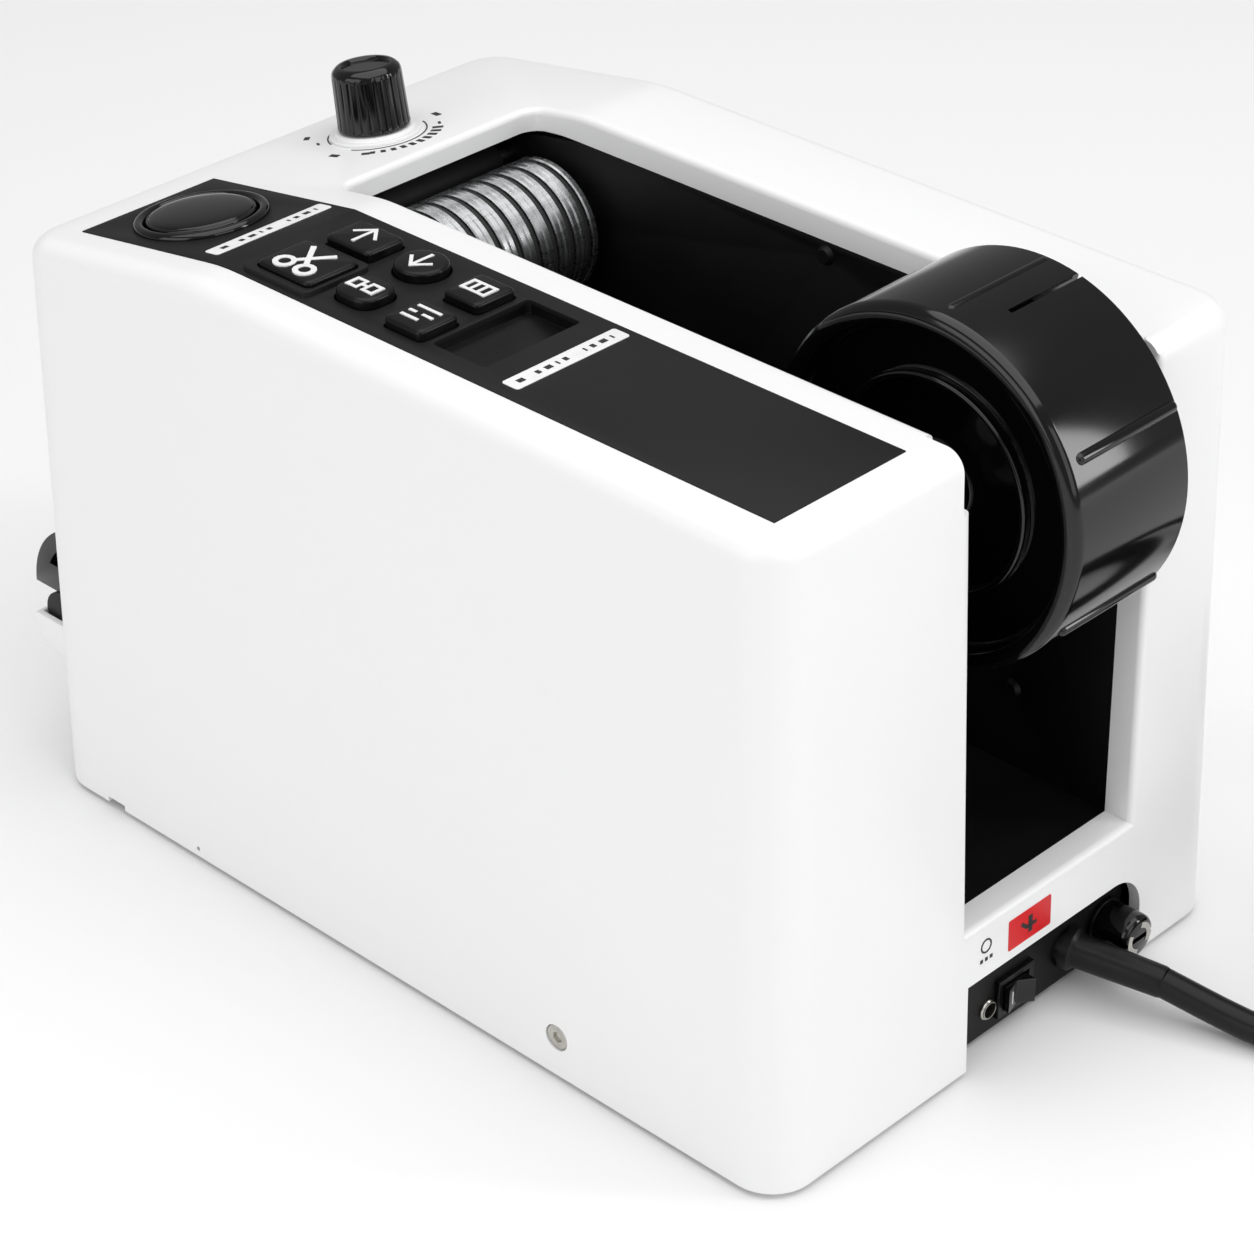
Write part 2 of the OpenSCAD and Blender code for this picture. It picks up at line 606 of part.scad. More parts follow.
module reel_drum() color("#111111") translate([0, reel_y, reel_z]) {
    lip = 4;
    difference() {
        union() {
            rod_x(reel_far, reel_near, reel_r);
            for (a = [88 : 60 : 388]) rotate([a, 0, 0]) translate([reel_far, reel_r - 1, -1.3])
                cube([reel_w - 2.4, 1 + rib_h, 2.6]);
        }
        rod_x(reel_far - 1, reel_near - lip - 3, reel_r - reel_wall);
        rod_x(reel_near - lip, reel_near + 1, reel_r - lip);
        rotate([76, 0, 0]) translate([reel_far - 1, reel_r - 4, -0.6]) cube([22.5, 8, 1.2]);
        rod_x(reel_far - 1, reel_near + 9, axle_r + RUN);
    }
    difference() {
        union() {
            rod_x(far_plate_x + 1.5, near_plate_x - 2.5, axle_r + 4.5);
            rod_x(reel_near - lip - 1, reel_near - lip + 1.4, 22.4);
        }
        rod_x(far_plate_x, near_plate_x, axle_r + RUN);
    }
}
module reel_axle() color("silver") translate([0, reel_y, reel_z])
    rod_x(far_plate_x - plate_t - 5, near_plate_x + plate_t + 5, axle_r);
module axle_nuts() color("#8a8d90") translate([0, reel_y, reel_z])
    for (x = [far_plate_x - plate_t - 4, near_plate_x + plate_t]) translate([x, 0, 0]) difference() {
        rotate([0, 90, 0]) cylinder(r = axle_r + 3, h = 4, $fn = 6);
        rod_x(-1, 5, axle_r + 0.02);
    }

// ---- power ----

module transformer_core() color("#5a5f63") translate([core_x, core_y, base_top]) difference() {
    block([-22, -24, 0], [20, 24, 40]);
    for (y = [-1, 1]) translate([0, y * 12, 0]) block([-23, -6, 8], [21, 6, 32]);
}
module transformer_coil() color("#b87333") translate([core_x, core_y, base_top]) difference() {
    block([-19, -17.8, 8.2], [17, 17.8, 31.8]);
    block([-23, -6.2, 0], [21, 6.2, 40]);
}
module power_board() color("#1f5c38") translate([board_x, board_y, base_top]) {
    translate([0, 0, 6]) pad(38, 60, 1.6, 1);
    for (x = [-15, 15], y = [-26, 26]) translate([x, y, 0]) cylinder(d = 5, h = 6);
    for (y = [-16, 0, 14]) translate([-6, y, 7.6]) cylinder(d = 11, h = 20);
    translate([10, -4, 7.6]) pad(12, 34, 16, 0.5);
}

// ---- rear connectors ----

module pedal_jack() color("#1a1a1a") translate([jack_x, 0, jack_z]) difference() {
    union() {
        rod_y(upstand_y - plate_t - 0.5, upstand_y + 1, 2.2);
        rod_y(upstand_y - 16, upstand_y - plate_t, 2.9);
        rod_y(upstand_y, upstand_y + 0.8, 2.35);
    }
    rod_y(upstand_y - 13, upstand_y + 3, 1.75);
}
module switch_bezel() color("#161616") translate([switch_x, 0, switch_z]) difference() {
    union() {
        block([-5.6, upstand_y, -4.6], [5.6, upstand_y + 1.2, 4.6]);
        block([-4.8, upstand_y - 12, -3.9], [4.8, upstand_y + 0.2, 3.9]);
    }
    block([-4.1, upstand_y - 8, -3.2], [4.1, upstand_y + 2, 3.2]);
    translate([0, rocker_y, 0]) cylinder(r = 0.8 + RUN, h = 12, center = true);
}
module power_rocker() color("#1d1d1d") translate([switch_x, rocker_y, switch_z]) rotate([0, 0, -9]) {
    translate([0, 0, -2.9]) linear_extrude(5.8)
        polygon([[-3.6, 5.4], [0, 3.6], [3.6, 5.4], [3, 0], [1.6, -3], [-1.6, -3], [-3, 0]]);
    cylinder(r = 0.8, h = 7.4, center = true);
}
module fuse_holder() color("#141414") translate([fuse_x, 0, fuse_z]) difference() {
    union() {
        rod_y(upstand_y, upstand_y + 1.2, fuse_r + 0.8);
        rod_y(upstand_y - plate_t - 0.8, upstand_y + 0.2, fuse_r);
        rod_y(upstand_y - 26, upstand_y, 3.6);
    }
    rod_y(upstand_y - 24, upstand_y + 3, fuse_bore);
}
module fuse_cap() color("#141414") translate([fuse_x, 0, fuse_z]) difference() {
    union() {
        rod_y(upstand_y + 1.5, upstand_y + 9.6, fuse_r + 0.5);
        rod_y(upstand_y - 12, upstand_y + 2, fuse_bore - RUN);
    }
    block([-6, upstand_y + 8.6, -0.7], [6, upstand_y + 11, 0.7]);
}
module cord_grip() color("#121212") {
    translate([grip_x, 0, grip_z]) {
        rod_y(upstand_y - 4, upstand_y + 0.1, 4);
        rod_y(upstand_y, upstand_y + 1.2, 4.8);
    }
    grip_run();
}
// Tapered sleeve, aimed at the start of the cord's route
module grip_run() {
    d = CORD_ROUTE[0] - grip_at;
    l = norm(d);
    translate(grip_at) rotate([0, acos(d[2] / l), atan2(d[1], d[0])])
        cylinder(d1 = cord_d + 1.2, d2 = cord_d + 0.5, h = l);
}
// Tube swept along a route, with eight sides
function unit(v) = v / norm(v);
function route_dir(p, i) = unit(p[min(i + 1, len(p) - 1)] - p[max(i - 1, 0)]);
module tube(path, d) {
    sides = 8;
    n = len(path);
    turns = [for (k = [0 : sides - 1]) 360 * (k + 0.5) / sides];
    points = [for (i = [0 : n - 1])
        let (t = route_dir(path, i), u = unit(cross([0, 0, 1], t)), v = cross(t, u))
            for (a = turns) path[i] + d / 2 * (u * cos(a) + v * sin(a))];
    walls = [for (i = [0 : n - 2], k = [0 : sides - 1])
        [i * sides + k, i * sides + (k + 1) % sides, (i + 1) * sides + (k + 1) % sides, (i + 1) * sides + k]];
    ends = [[for (k = [sides - 1 : -1 : 0]) k], [for (k = [0 : sides - 1]) (n - 1) * sides + k]];
    polyhedron(points, concat(walls, ends), convexity = 6);
}
module mains_cord() color("#161616") tube(CORD_ROUTE, cord_d);
module cord_coil() color("#161616") translate(COIL_AT) rotate_extrude($fn = 64)
    translate([coil_r - 1.5 * cord_d, 0]) square([3 * cord_d, 2 * cord_d]);
module plug_lead() color("#161616") translate([COIL_AT[0], COIL_AT[1], 0]) tube(LEAD_ROUTE, cord_d);
// Carries children from the plug's tail, which points along +Y
module at_plug() translate([COIL_AT[0], COIL_AT[1], 0]) translate(plug_at) children();
module mains_plug() color("#161616") at_plug() difference() {
    union() {
        rod_y(-14, 1, 4.6);
        hull() {
            for (x = [-6, 6]) translate([x, 0, 0]) rod_y(-14, -10, 6);
            for (x = [-9.5, 9.5], z = [-7.5, 7.5]) translate([x, 0, z]) rod_y(-36, -20, 4.5);
        }
    }
    rod_y(-2, 2, cord_d / 2);
    pin_blades();
}
module pin_blades() {
    for (x = [-1, 1]) translate([x * 7, -36, 3]) rotate([0, x * 30, 0]) translate([-0.8, -18, -3.2])
        cube([1.6, 20, 6.4]);
    translate([-0.8, -56, -9]) cube([1.6, 22, 6.4]);
}
module plug_pins() color("silver") at_plug() pin_blades();

// ---- front ----

module front_tray() color("white") difference() {
    union() {
        difference() {
            hull() {
                block([-tray_w / 2, front_y - 1, tray_z], [tray_w / 2, front_y - 0.1, tray_top]);
                translate([0, front_y - tray_reach + 1.2, tray_top - 1.2])
                    rod_x(-tray_w / 2, tray_w / 2, 1.2);
                translate([0, front_y - tray_reach + 3, tray_z + 3]) rod_x(-tray_w / 2, tray_w / 2, 3);
            }
            block([-tray_w / 2 + 1.6, front_y - tray_reach + 1.6, tray_z + 1.6],
                [tray_w / 2 - 1.6, front_y - 1, tray_top + 1]);
        }
        // Ribs that carry the delivery roller, and tongues into the housing
        for (x = [-1, 1]) translate([x * rib_x, 0, 0]) {
            block([-1, delivery_y - 3.6, tray_z + 1], [1, delivery_y + 3.6, delivery_z]);
            translate([0, delivery_y, delivery_z]) rod_x(-1, 1, 3.6);
        }
        for (x = [-40, 40])
            block([x - 4, front_y - 1.5, tray_z + 2], [x + 4, front_y + wall + 1.5, tray_z + 4]);
    }
    translate([0, delivery_y, delivery_z]) rod_x(-rib_x - 4, rib_x + 4, 1.75 + RUN);
}
module delivery_roller() color("#1a1a1a") translate([0, delivery_y, delivery_z]) {
    rod_x(-rib_x + 1.4, rib_x - 1.4, delivery_r - 0.8);
    for (x = [-4 : 4]) rod_x(x * 10 - 3, x * 10 + 3, delivery_r);
    rod_x(-tray_w / 2 + 2.2, tray_w / 2 - 2.2, 1.75);
    for (x = [-1, 1]) translate([x * (tray_w / 2 - 2.9), 0, 0]) rod_x(-0.6, 0.6, delivery_r);
}
// Quarter disc in the YZ plane, centred behind the guard's lower edge
module guard_arc(r, y1, z0) intersection() {
    translate([front_y + 0.3, tray_top + 4.3]) circle(r = r, $fn = 96);
    translate([front_y - 40, z0]) square([40 + y1, 60]);
}
module finger_guard() color("#151515") difference() {
    union() {
        for (x = [-guard_x, guard_x - cheek_t]) along_x(x, cheek_t) {
            difference() {
                guard_arc(guard_r, -0.7, tray_top + 4.3);
                guard_arc(guard_r - 4, -6.4, tray_top + 11);
            }
            translate([hinge_y, guard_pivot_h]) circle(r = 3.2);
        }
        // Bars that join the two cheeks
        translate([0, front_y - guard_reach + 3, tray_top + 7]) rod_x(-guard_x + 1, guard_x - 1, 2.2);
        along_x(-guard_x + 1, guard_w - 2) difference() {
            guard_arc(guard_r, -8, slot_z + slot_h + 1);
            translate([front_y + 0.3, tray_top + 4.3]) circle(r = guard_r - 1.6, $fn = 96);
        }
    }
    for (x = [-1, 1])
        translate([x * (guard_x - cheek_t / 2), hinge_y, guard_pivot_h]) rod_x(-4, 4, pin_r + RUN);
}
module guard_hinges() color("#151515") for (x = [-1, 1]) translate([x * lug_x, 0, guard_pivot_h]) {
    block([-lug_w / 2, hinge_y, -3.2], [lug_w / 2, front_y - 0.05, 3.2]);
    translate([0, hinge_y, 0]) rod_x(-lug_w / 2, lug_w / 2, 3.2);
    translate([x * (lug_w / 2 + cheek_t / 2), hinge_y, 0]) rod_x(-cheek_t / 2 - 1, cheek_t / 2 + 1, pin_r);
    rod_y(front_y - 1, front_y + wall + 2, 1.5);
}
module release_tab() color("#101010") {
    block([ch_mid - 3, front_y - 1.2, tab_z - 2], [ch_mid + 3, front_y + wall + 5, tab_z + 2]);
    translate([0, front_y - 1.2, tab_z]) rod_x(ch_mid - 3, ch_mid + 3, 2);
    block([ch_mid - 3, front_y + wall + 3, tab_z - 6], [ch_mid + 3, front_y + wall + 5, tab_z]);
}

// ---- cutter ----

module cutter_bar() color("#1c1c1c")
    along_x(far_plate_x + EPS, near_plate_x - far_plate_x - 2 * EPS) polygon([[blade_y + 1.2, tray_top + 1],
        [front_y + 16, tray_top + 1], [front_y + 17.8, slot_z - 6], [front_y + 17.8, slot_z - 0.2],
        [blade_y + 1.2, slot_z - 0.2]]);
module fixed_blade() color("silver")
    block([ch_mid - blade_w / 2, blade_y, slot_z - 9], [ch_mid + blade_w / 2, blade_y + 1.2, slot_z]);
module moving_blade() color("#9a9da0") {
    edge_z = slot_z + slot_h;
    block([ch_mid - blade_w / 2, blade_y - 1.4, edge_z], [ch_mid + blade_w / 2, blade_y - 0.4, edge_z + 6.4]);
    for (x = [-1, 1]) translate([ch_mid + x * (blade_w / 2 - 1), 0, 0]) {
        block([-1, blade_y - 0.4, edge_z + 1.6], [1, pivot_y, edge_z + 6.4]);
        translate([0, pivot_y, pivot_z]) rod_x(-1, 1, 5);
    }
    translate([0, pivot_y, pivot_z]) {
        rod_x(far_plate_x - plate_t - 0.5, near_plate_x + plate_t + 0.5, pivot_r);
        intersection() {
            translate([sector_x, 0, 0]) gear(sector_teeth, 3, 90);
            block([sector_x, -9, 3], [sector_x + 3, 9, 20]);
        }
        block([sector_x, -5, 0], [sector_x + 3, 5, 6]);
    }
}
module cutter_pinion() color("#c8a850") translate([sector_x, pivot_y, pivot_z + cutter_dist]) difference() {
    gear(cutter_teeth, 3, 270 + 180 / cutter_teeth);
    rod_x(-1, 4, 1.02);
}
module cutter_motor() color("#b8bcc0") translate([0, pivot_y, pivot_z + cutter_dist]) {
    rod_x(near_plate_x + plate_t + 0.05, near_plate_x + plate_t + 28, 12);
    rod_x(near_plate_x + plate_t - 0.5, near_plate_x + plate_t + 1, 3.2);
    rod_x(sector_x + 0.3, near_plate_x + plate_t + 1, 1);
}

housing();
control_panel();
display_window();
display_module();
control_board();
start_ring();
start_button();
cut_key();
feed_key();
back_key();
mode_key();
length_key();
count_key();
release_tab();
base_plate();
feet();
far_frame_plate();
near_frame_plate();
channel_floor();
tape_guide();
frame_screws();
side_screws();
feed_roller();
roller_rings();
roller_shaft();
roller_bushes();
feed_gear();
feed_motor();
motor_pinion();
press_roller();
press_shaft();
reel_drum();
reel_axle();
axle_nuts();
length_knob();
knob_collar();
potentiometer();
transformer_core();
transformer_coil();
power_board();
pedal_jack();
switch_bezel();
power_rocker();
fuse_holder();
fuse_cap();
cord_grip();
mains_cord();
cord_coil();
plug_lead();
mains_plug();
plug_pins();
front_tray();
delivery_roller();
finger_guard();
guard_hinges();
cutter_bar();
fixed_blade();
moving_blade();
cutter_motor();
cutter_pinion();
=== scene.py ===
# Automatic electronic tape dispenser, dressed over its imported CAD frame. Sizes in a section are
# in millimetres, and each mesh is scaled to metres as it is made.
import math

import bmesh
import bpy
from mathutils import Matrix, Vector


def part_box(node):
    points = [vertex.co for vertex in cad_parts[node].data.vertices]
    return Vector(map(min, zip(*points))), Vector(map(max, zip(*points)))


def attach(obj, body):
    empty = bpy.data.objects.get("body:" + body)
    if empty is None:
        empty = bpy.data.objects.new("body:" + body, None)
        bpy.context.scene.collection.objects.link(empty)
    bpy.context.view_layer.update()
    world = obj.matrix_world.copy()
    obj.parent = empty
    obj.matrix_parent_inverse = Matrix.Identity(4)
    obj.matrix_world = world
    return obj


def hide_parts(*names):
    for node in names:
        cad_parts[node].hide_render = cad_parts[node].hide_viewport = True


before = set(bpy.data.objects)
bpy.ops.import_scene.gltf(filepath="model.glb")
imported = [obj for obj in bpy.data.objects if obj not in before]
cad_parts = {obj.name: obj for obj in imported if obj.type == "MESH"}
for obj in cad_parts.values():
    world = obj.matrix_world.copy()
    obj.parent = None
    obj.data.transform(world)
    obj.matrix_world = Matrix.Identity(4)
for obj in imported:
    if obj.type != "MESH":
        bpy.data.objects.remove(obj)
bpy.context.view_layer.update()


# ---- Camera, floor and studio light ----
# A long lens looks down on the machine's rear corner, over a pale floor. A broad soft light hangs
# overhead, and three smaller ones round the machine give the gloss black parts their reflections.
MM = 0.001
LENS = 106.63
YAW = 133.77
PITCH_DOWN = 31.72
DISTANCE = 808.63
AIM = Vector((-14.9, -7.0, 42.2))
camera_data = bpy.data.cameras.new("camera")
camera_data.lens = LENS
camera_data.sensor_width = 36
camera_data.clip_end = 20
camera = bpy.data.objects.new("camera", camera_data)
bpy.context.scene.collection.objects.link(camera)
bpy.context.scene.camera = camera
yaw = math.radians(YAW)
pitch = math.radians(PITCH_DOWN)
back = Vector((math.sin(yaw) * math.cos(pitch), -math.cos(yaw) * math.cos(pitch), math.sin(pitch)))
camera.location = (AIM + back * DISTANCE) * MM
camera.rotation_euler = back.to_track_quat("Z", "Y").to_euler()
bpy.context.scene.view_settings.view_transform = "Standard"


def light(name, at, size, size_y, power, towards=(0, 0, 0.07)):
    """A rectangular soft light, in metres and watts."""
    data = bpy.data.lights.new(name, "AREA")
    data.shape = "RECTANGLE"
    data.size = size
    data.size_y = size_y
    data.energy = power
    thing = bpy.data.objects.new(name, data)
    thing.location = at
    thing.rotation_euler = (Vector(at) - Vector(towards)).to_track_quat("Z", "Y").to_euler()
    bpy.context.scene.collection.objects.link(thing)


def rgb(text):
    """Turns an sRGB hex colour into a linear one."""
    parts = [int(text[i:i + 2], 16) / 255 for i in (1, 3, 5)]
    return tuple(p / 12.92 if p <= 0.04045 else ((p + 0.055) / 1.055) ** 2.4 for p in parts) + (1,)


light("overhead", (0.0, 0.1, 1.3), 1.8, 1.8, 17.2)
light("strip_rear", (0.15, 1.4, 0.6), 0.9, 0.9, 3.3)
light("strip_reel", (-0.8, 1.12, 0.5), 0.2, 0.75, 3.4, (0, 0.1, 0.12))
light("strip_side", (1.35, -0.1, 0.55), 1.3, 0.8, 4.9)
world = bpy.data.worlds.new("studio")
world.use_nodes = True
sky = world.node_tree.nodes["Background"]
sky.inputs["Color"].default_value = rgb("#ffffff")
sky.inputs["Strength"].default_value = 0.3
bpy.context.scene.world = world

# Matt white board: it takes soft shadows and shows no reflection.
floor_mesh = bpy.data.meshes.new("floor")
floor_mesh.from_pydata([(-4, -4, 0), (4, -4, 0), (4, 4, 0), (-4, 4, 0)], [], [(0, 1, 2, 3)])
floor = bpy.data.objects.new("floor", floor_mesh)
bpy.context.scene.collection.objects.link(floor)
floor_finish = bpy.data.materials.new("matt_white_floor")
floor_finish.use_nodes = True
board = floor_finish.node_tree.nodes["Principled BSDF"]
board.inputs["Base Color"].default_value = rgb("#f6f6f6")
board.inputs["Roughness"].default_value = 0.9
floor_mesh.materials.append(floor_finish)


# ---- Mains cord ----
# Round 6.4 mm three-core PVC cord. It leaves its grip at the rear, comes down to the table, and
# the rest of its 1.4 m is wound in a coil of three rings on two layers, with the plug beside it.

def add(tree, kind, inputs=None, **settings):
    """Adds a node with its settings. An input is a value or another node's output."""
    made = tree.nodes.new(kind)
    for key, value in settings.items():
        setattr(made, key, value)
    for key, value in (inputs or {}).items():
        if isinstance(value, bpy.types.NodeSocket):
            tree.links.new(value, made.inputs[key])
        else:
            made.inputs[key].default_value = value
    return made


def surface(name, pale, dark, smooth, dull, patch, grain, depth, stretch=(1, 1, 1), **fixed):
    """A finish that drifts between two colours and two roughnesses over patches, with a fine raised
    grain. patch, grain and depth are in millimetres, and fixed holds the shader's own sockets."""
    made = bpy.data.materials.new(name)
    made.use_nodes = True
    tree = made.node_tree
    shader = tree.nodes["Principled BSDF"]
    place = add(tree, "ShaderNodeTexCoord").outputs["Object"]
    turned = add(tree, "ShaderNodeMapping", {"Vector": place, "Scale": stretch}).outputs["Vector"]
    drift = add(tree, "ShaderNodeTexNoise",
                {"Vector": turned, "Scale": 1 / (patch * MM), "Detail": 4.0})
    fine = add(tree, "ShaderNodeTexNoise",
               {"Vector": turned, "Scale": 1 / (grain * MM), "Detail": 2.0})
    ramp = add(tree, "ShaderNodeValToRGB", {"Fac": drift.outputs["Fac"]})
    drift_low, drift_high = 0.2, 0.8
    ramp.color_ramp.elements[0].position = drift_low
    ramp.color_ramp.elements[0].color = rgb(dark)
    ramp.color_ramp.elements[1].position = drift_high
    ramp.color_ramp.elements[1].color = rgb(pale)
    tree.links.new(ramp.outputs["Color"], shader.inputs["Base Color"])
    gloss = add(tree, "ShaderNodeMapRange",
                {"Value": drift.outputs["Fac"], "From Min": drift_low, "From Max": drift_high,
                 "To Min": smooth, "To Max": dull})
    tree.links.new(gloss.outputs["Result"], shader.inputs["Roughness"])
    bump = add(tree, "ShaderNodeBump",
               {"Height": fine.outputs["Fac"], "Strength": 1.0, "Distance": depth * MM})
    tree.links.new(bump.outputs["Normal"], shader.inputs["Normal"])
    for key, value in fixed.items():
        shader.inputs[key.replace("_", " ")].default_value = value
    return made


# Extruded flexible PVC: near black, with the low even sheen of a jacket drawn through a die.
cord_pvc = surface("extruded_pvc_black", "#0f0f0f", "#0b0b0b", 0.34, 0.42, 9, 0.8, 0.002,
                   Specular_IOR_Level=0.28)

CORD_D = 6.4
CORD_ROUTE = [(-30.9, 129, 8.1), (-32.2, 134, 6.9), (-33.4, 138.5, 5.8), (-34.6, 143, 4.8),
              (-35.8, 148, 4), (-37.4, 154, 3.5), (-39.6, 160, 3.3), (-42.4, 166.5, 3.3),
              (-45.2, 172.6, 3.3), (-47.7, 178, 3.3)]
LEAD_ROUTE = [(-39.2, 24.8, 10), (-45.5, 18.2, 10.4), (-50.6, 10.6, 10.9), (-54.4, 2.2, 11.4),
              (-56.6, -6.6, 11.9), (-57.2, -15.8, 12.1)]
COIL_AT = Vector((-97.5, 179, 0))
COIL_R = 38.4
COIL_IN = 24    # degrees, where the cord comes onto the coil
COIL_OUT = 131    # degrees, where it leaves for the plug
LAYERS = (3.3, 9.75)    # heights of the cord's middle on the table and on the turns below
STEP_FROM = 285    # degrees into a turn at which it starts to slant to the next ring


def coil_points():
    """Three rings inwards on the table and three outwards on top, with one slanting step a turn."""
    inwards = [COIL_R + CORD_D, COIL_R, COIL_R - CORD_D]
    rings = [(radius, LAYERS[0]) for radius in inwards]
    rings += [(radius, LAYERS[1]) for radius in reversed(inwards)]
    last = len(rings) - 1
    found = []
    for turned in range(0, last * 360 + COIL_OUT - COIL_IN + 1, 15):
        ring = min(turned // 360, last)
        part = turned - 360 * ring
        here, after = rings[ring], rings[min(ring + 1, last)]
        blend = max(0.0, (part - STEP_FROM) / (360 - STEP_FROM)) if ring < last else 0.0
        blend = blend * blend * (3 - 2 * blend)
        radius = here[0] + (after[0] - here[0]) * blend
        height = here[1] + (after[1] - here[1]) * blend
        angle = math.radians(COIL_IN + turned)
        found.append(COIL_AT + Vector((radius * math.cos(angle), radius * math.sin(angle), height)))
    return found


cord_line = [Vector(p) for p in CORD_ROUTE] + coil_points() + [COIL_AT + Vector(p) for p in LEAD_ROUTE]
cord_data = bpy.data.curves.new("power_cord", "CURVE")
cord_data.dimensions = "3D"
cord_data.resolution_u = 5
cord_data.bevel_depth = 1
cord_data.bevel_resolution = 5
cord_data.use_fill_caps = True
spline = cord_data.splines.new("BEZIER")
spline.bezier_points.add(len(cord_line) - 1)
for knot, at in zip(spline.bezier_points, cord_line):
    knot.co = at * MM
    knot.radius = CORD_D / 2 * MM
    knot.handle_left_type = knot.handle_right_type = "AUTO"
cord = bpy.data.objects.new("power_cord", cord_data)
bpy.context.scene.collection.objects.link(cord)
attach(cord, "root")
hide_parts("mains_cord", "cord_coil", "plug_lead")
cord_data.materials.append(cord_pvc)


def shade(thing, angle=35):
    """Smooth shading that keeps edges sharper than the angle."""
    mesh = thing.data
    made = bmesh.new()
    made.from_mesh(mesh)
    for face in made.faces:
        face.smooth = True
    for edge in made.edges:
        turned = len(edge.link_faces) == 2 and edge.calc_face_angle(0) > math.radians(angle)
        edge.smooth = not turned
    made.to_mesh(mesh)
    made.free()


def add_piece(name, made, body, finish, replaced=()):
    """Makes an object of a bmesh in millimetres, puts it on its body, and hides the nodes it replaces."""
    made.transform(Matrix.Scale(MM, 4))
    mesh = bpy.data.meshes.new(name)
    made.to_mesh(mesh)
    made.free()
    thing = bpy.data.objects.new(name, mesh)
    bpy.context.scene.collection.objects.link(thing)
    mesh.materials.append(finish)
    shade(thing)
    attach(thing, body)
    if replaced:
        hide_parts(*replaced)
    return thing


def spin(made, profile, place, steps=64, wave=None):
    """Turns a closed (radius, height) outline about +Z and moves it by a matrix. wave shapes the radius."""
    wave = wave or (lambda turn, radius, height: radius)
    rings = []
    for radius, height in profile:
        if radius < 1e-6:
            rings.append([made.verts.new(place @ Vector((0, 0, height)))])
            continue
        ring = []
        for i in range(steps):
            turn = 2 * math.pi * i / steps
            r = wave(turn, radius, height)
            ring.append(made.verts.new(place @ Vector((r * math.cos(turn), r * math.sin(turn), height))))
        rings.append(ring)
    pairs = list(zip(rings, rings[1:]))
    if profile[0][0] > 1e-6 and profile[-1][0] > 1e-6:
        pairs.append((rings[-1], rings[0]))
    faces = []
    for a, b in pairs:
        for i in range(steps):
            j = (i + 1) % steps
            if len(a) == 1 and len(b) > 1:
                faces.append(made.faces.new((a[0], b[i], b[j])))
            elif len(b) == 1 and len(a) > 1:
                faces.append(made.faces.new((a[i], b[0], a[j])))
            elif len(a) > 1:
                faces.append(made.faces.new((a[i], b[i], b[j], a[j])))
    bmesh.ops.recalc_face_normals(made, faces=faces)


def along(start, towards):
    """A matrix that carries +Z onto the direction from a point towards another."""
    turn = (Vector(towards) - Vector(start)).to_track_quat("Z", "Y").to_matrix().to_4x4()
    return Matrix.Translation(Vector(start)) @ turn


# The strain relief is a smooth soft PVC sleeve, which narrows from its collar on the rear plate.
grip_start = Vector((-25.3, 109.15, 9.8))
grip_line = along(grip_start, CORD_ROUTE[0])
grip_long = (Vector(CORD_ROUTE[0]) - grip_start).length
grip_outline = [(3.9, -4), (3.9, -1), (4.8, -1), (4.8, 0.9), (4.4, 1.3), (3.85, 1.7), (3.7, 3),
                (3.6, 10), (3.42, grip_long - 0.6), (3.3, grip_long), (3.19, grip_long + 0.2),
                (3.0, 2), (2.4, 2), (2.4, -4)]
grip_mesh = bmesh.new()
spin(grip_mesh, grip_outline, grip_line, 40)
grip = add_piece("cord_strain_relief", grip_mesh, "root", cord_pvc, ["cord_grip"])

# The moulded plug: one soft block over three flat pins, waisted behind the grip, with a round tail.
# Each ring is its radius, its height over the tail's end, and how square it is.
plug_at = COIL_AT + Vector(LEAD_ROUTE[-1])
plug_line = along(plug_at + Vector((0, 1, 0)), plug_at)
plug_rings = [(4.462, 0, 0), (4.462, 14, 0), (6.4, 15, 0.15), (8.5, 18, 0.4), (12.2, 22.5, 0.75),
              (13.2, 25, 0.85), (13.4, 34.5, 0.9), (12.6, 36.2, 0.9), (11.6, 37, 0.9)]
squareness = {height: square for radius, height, square in plug_rings}


def plug_wave(turn, radius, height):
    """Round at the tail, and a rounded block wider than it is high at the pins."""
    square = squareness[height]
    flat = 1 - 0.16 * square * math.sin(turn) ** 2
    corner = 1 + 0.12 * square * math.sin(2 * turn) ** 2
    return radius * flat * corner


plug_mesh = bmesh.new()
plug_outline = [(0, 0)] + [(radius, height) for radius, height, square in plug_rings] + [(0, 37)]
spin(plug_mesh, plug_outline, plug_line, 56, plug_wave)
plug = add_piece("plug_body", plug_mesh, "root", cord_pvc, ["mains_plug"])


# ---- Housing ----
# One injection-moulded ABS shell, open underneath, with drafted sides and softly rounded edges. The
# tape channel is cut through its top and rear, and a moulded rim turns down round that opening.
WALL = 2.6
CORNER_R = 9.5
EDGE_R = 4.5
SIDE_DRAFT = 1.2
REAR_DRAFT = 5
RIM_DEPTH = 6.2
FLARE = 2.4
FAR_WING = 31.3
CHANNEL_W = 51.5
SLOPE_LONG = 56.5
SLOPE_FALL = 9.3


def low(node):
    """Lowest corner of a CAD node, in millimetres."""
    return Vector(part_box(node)[0]) / MM


def high(node):
    """Highest corner of a CAD node, in millimetres."""
    return Vector(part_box(node)[1]) / MM


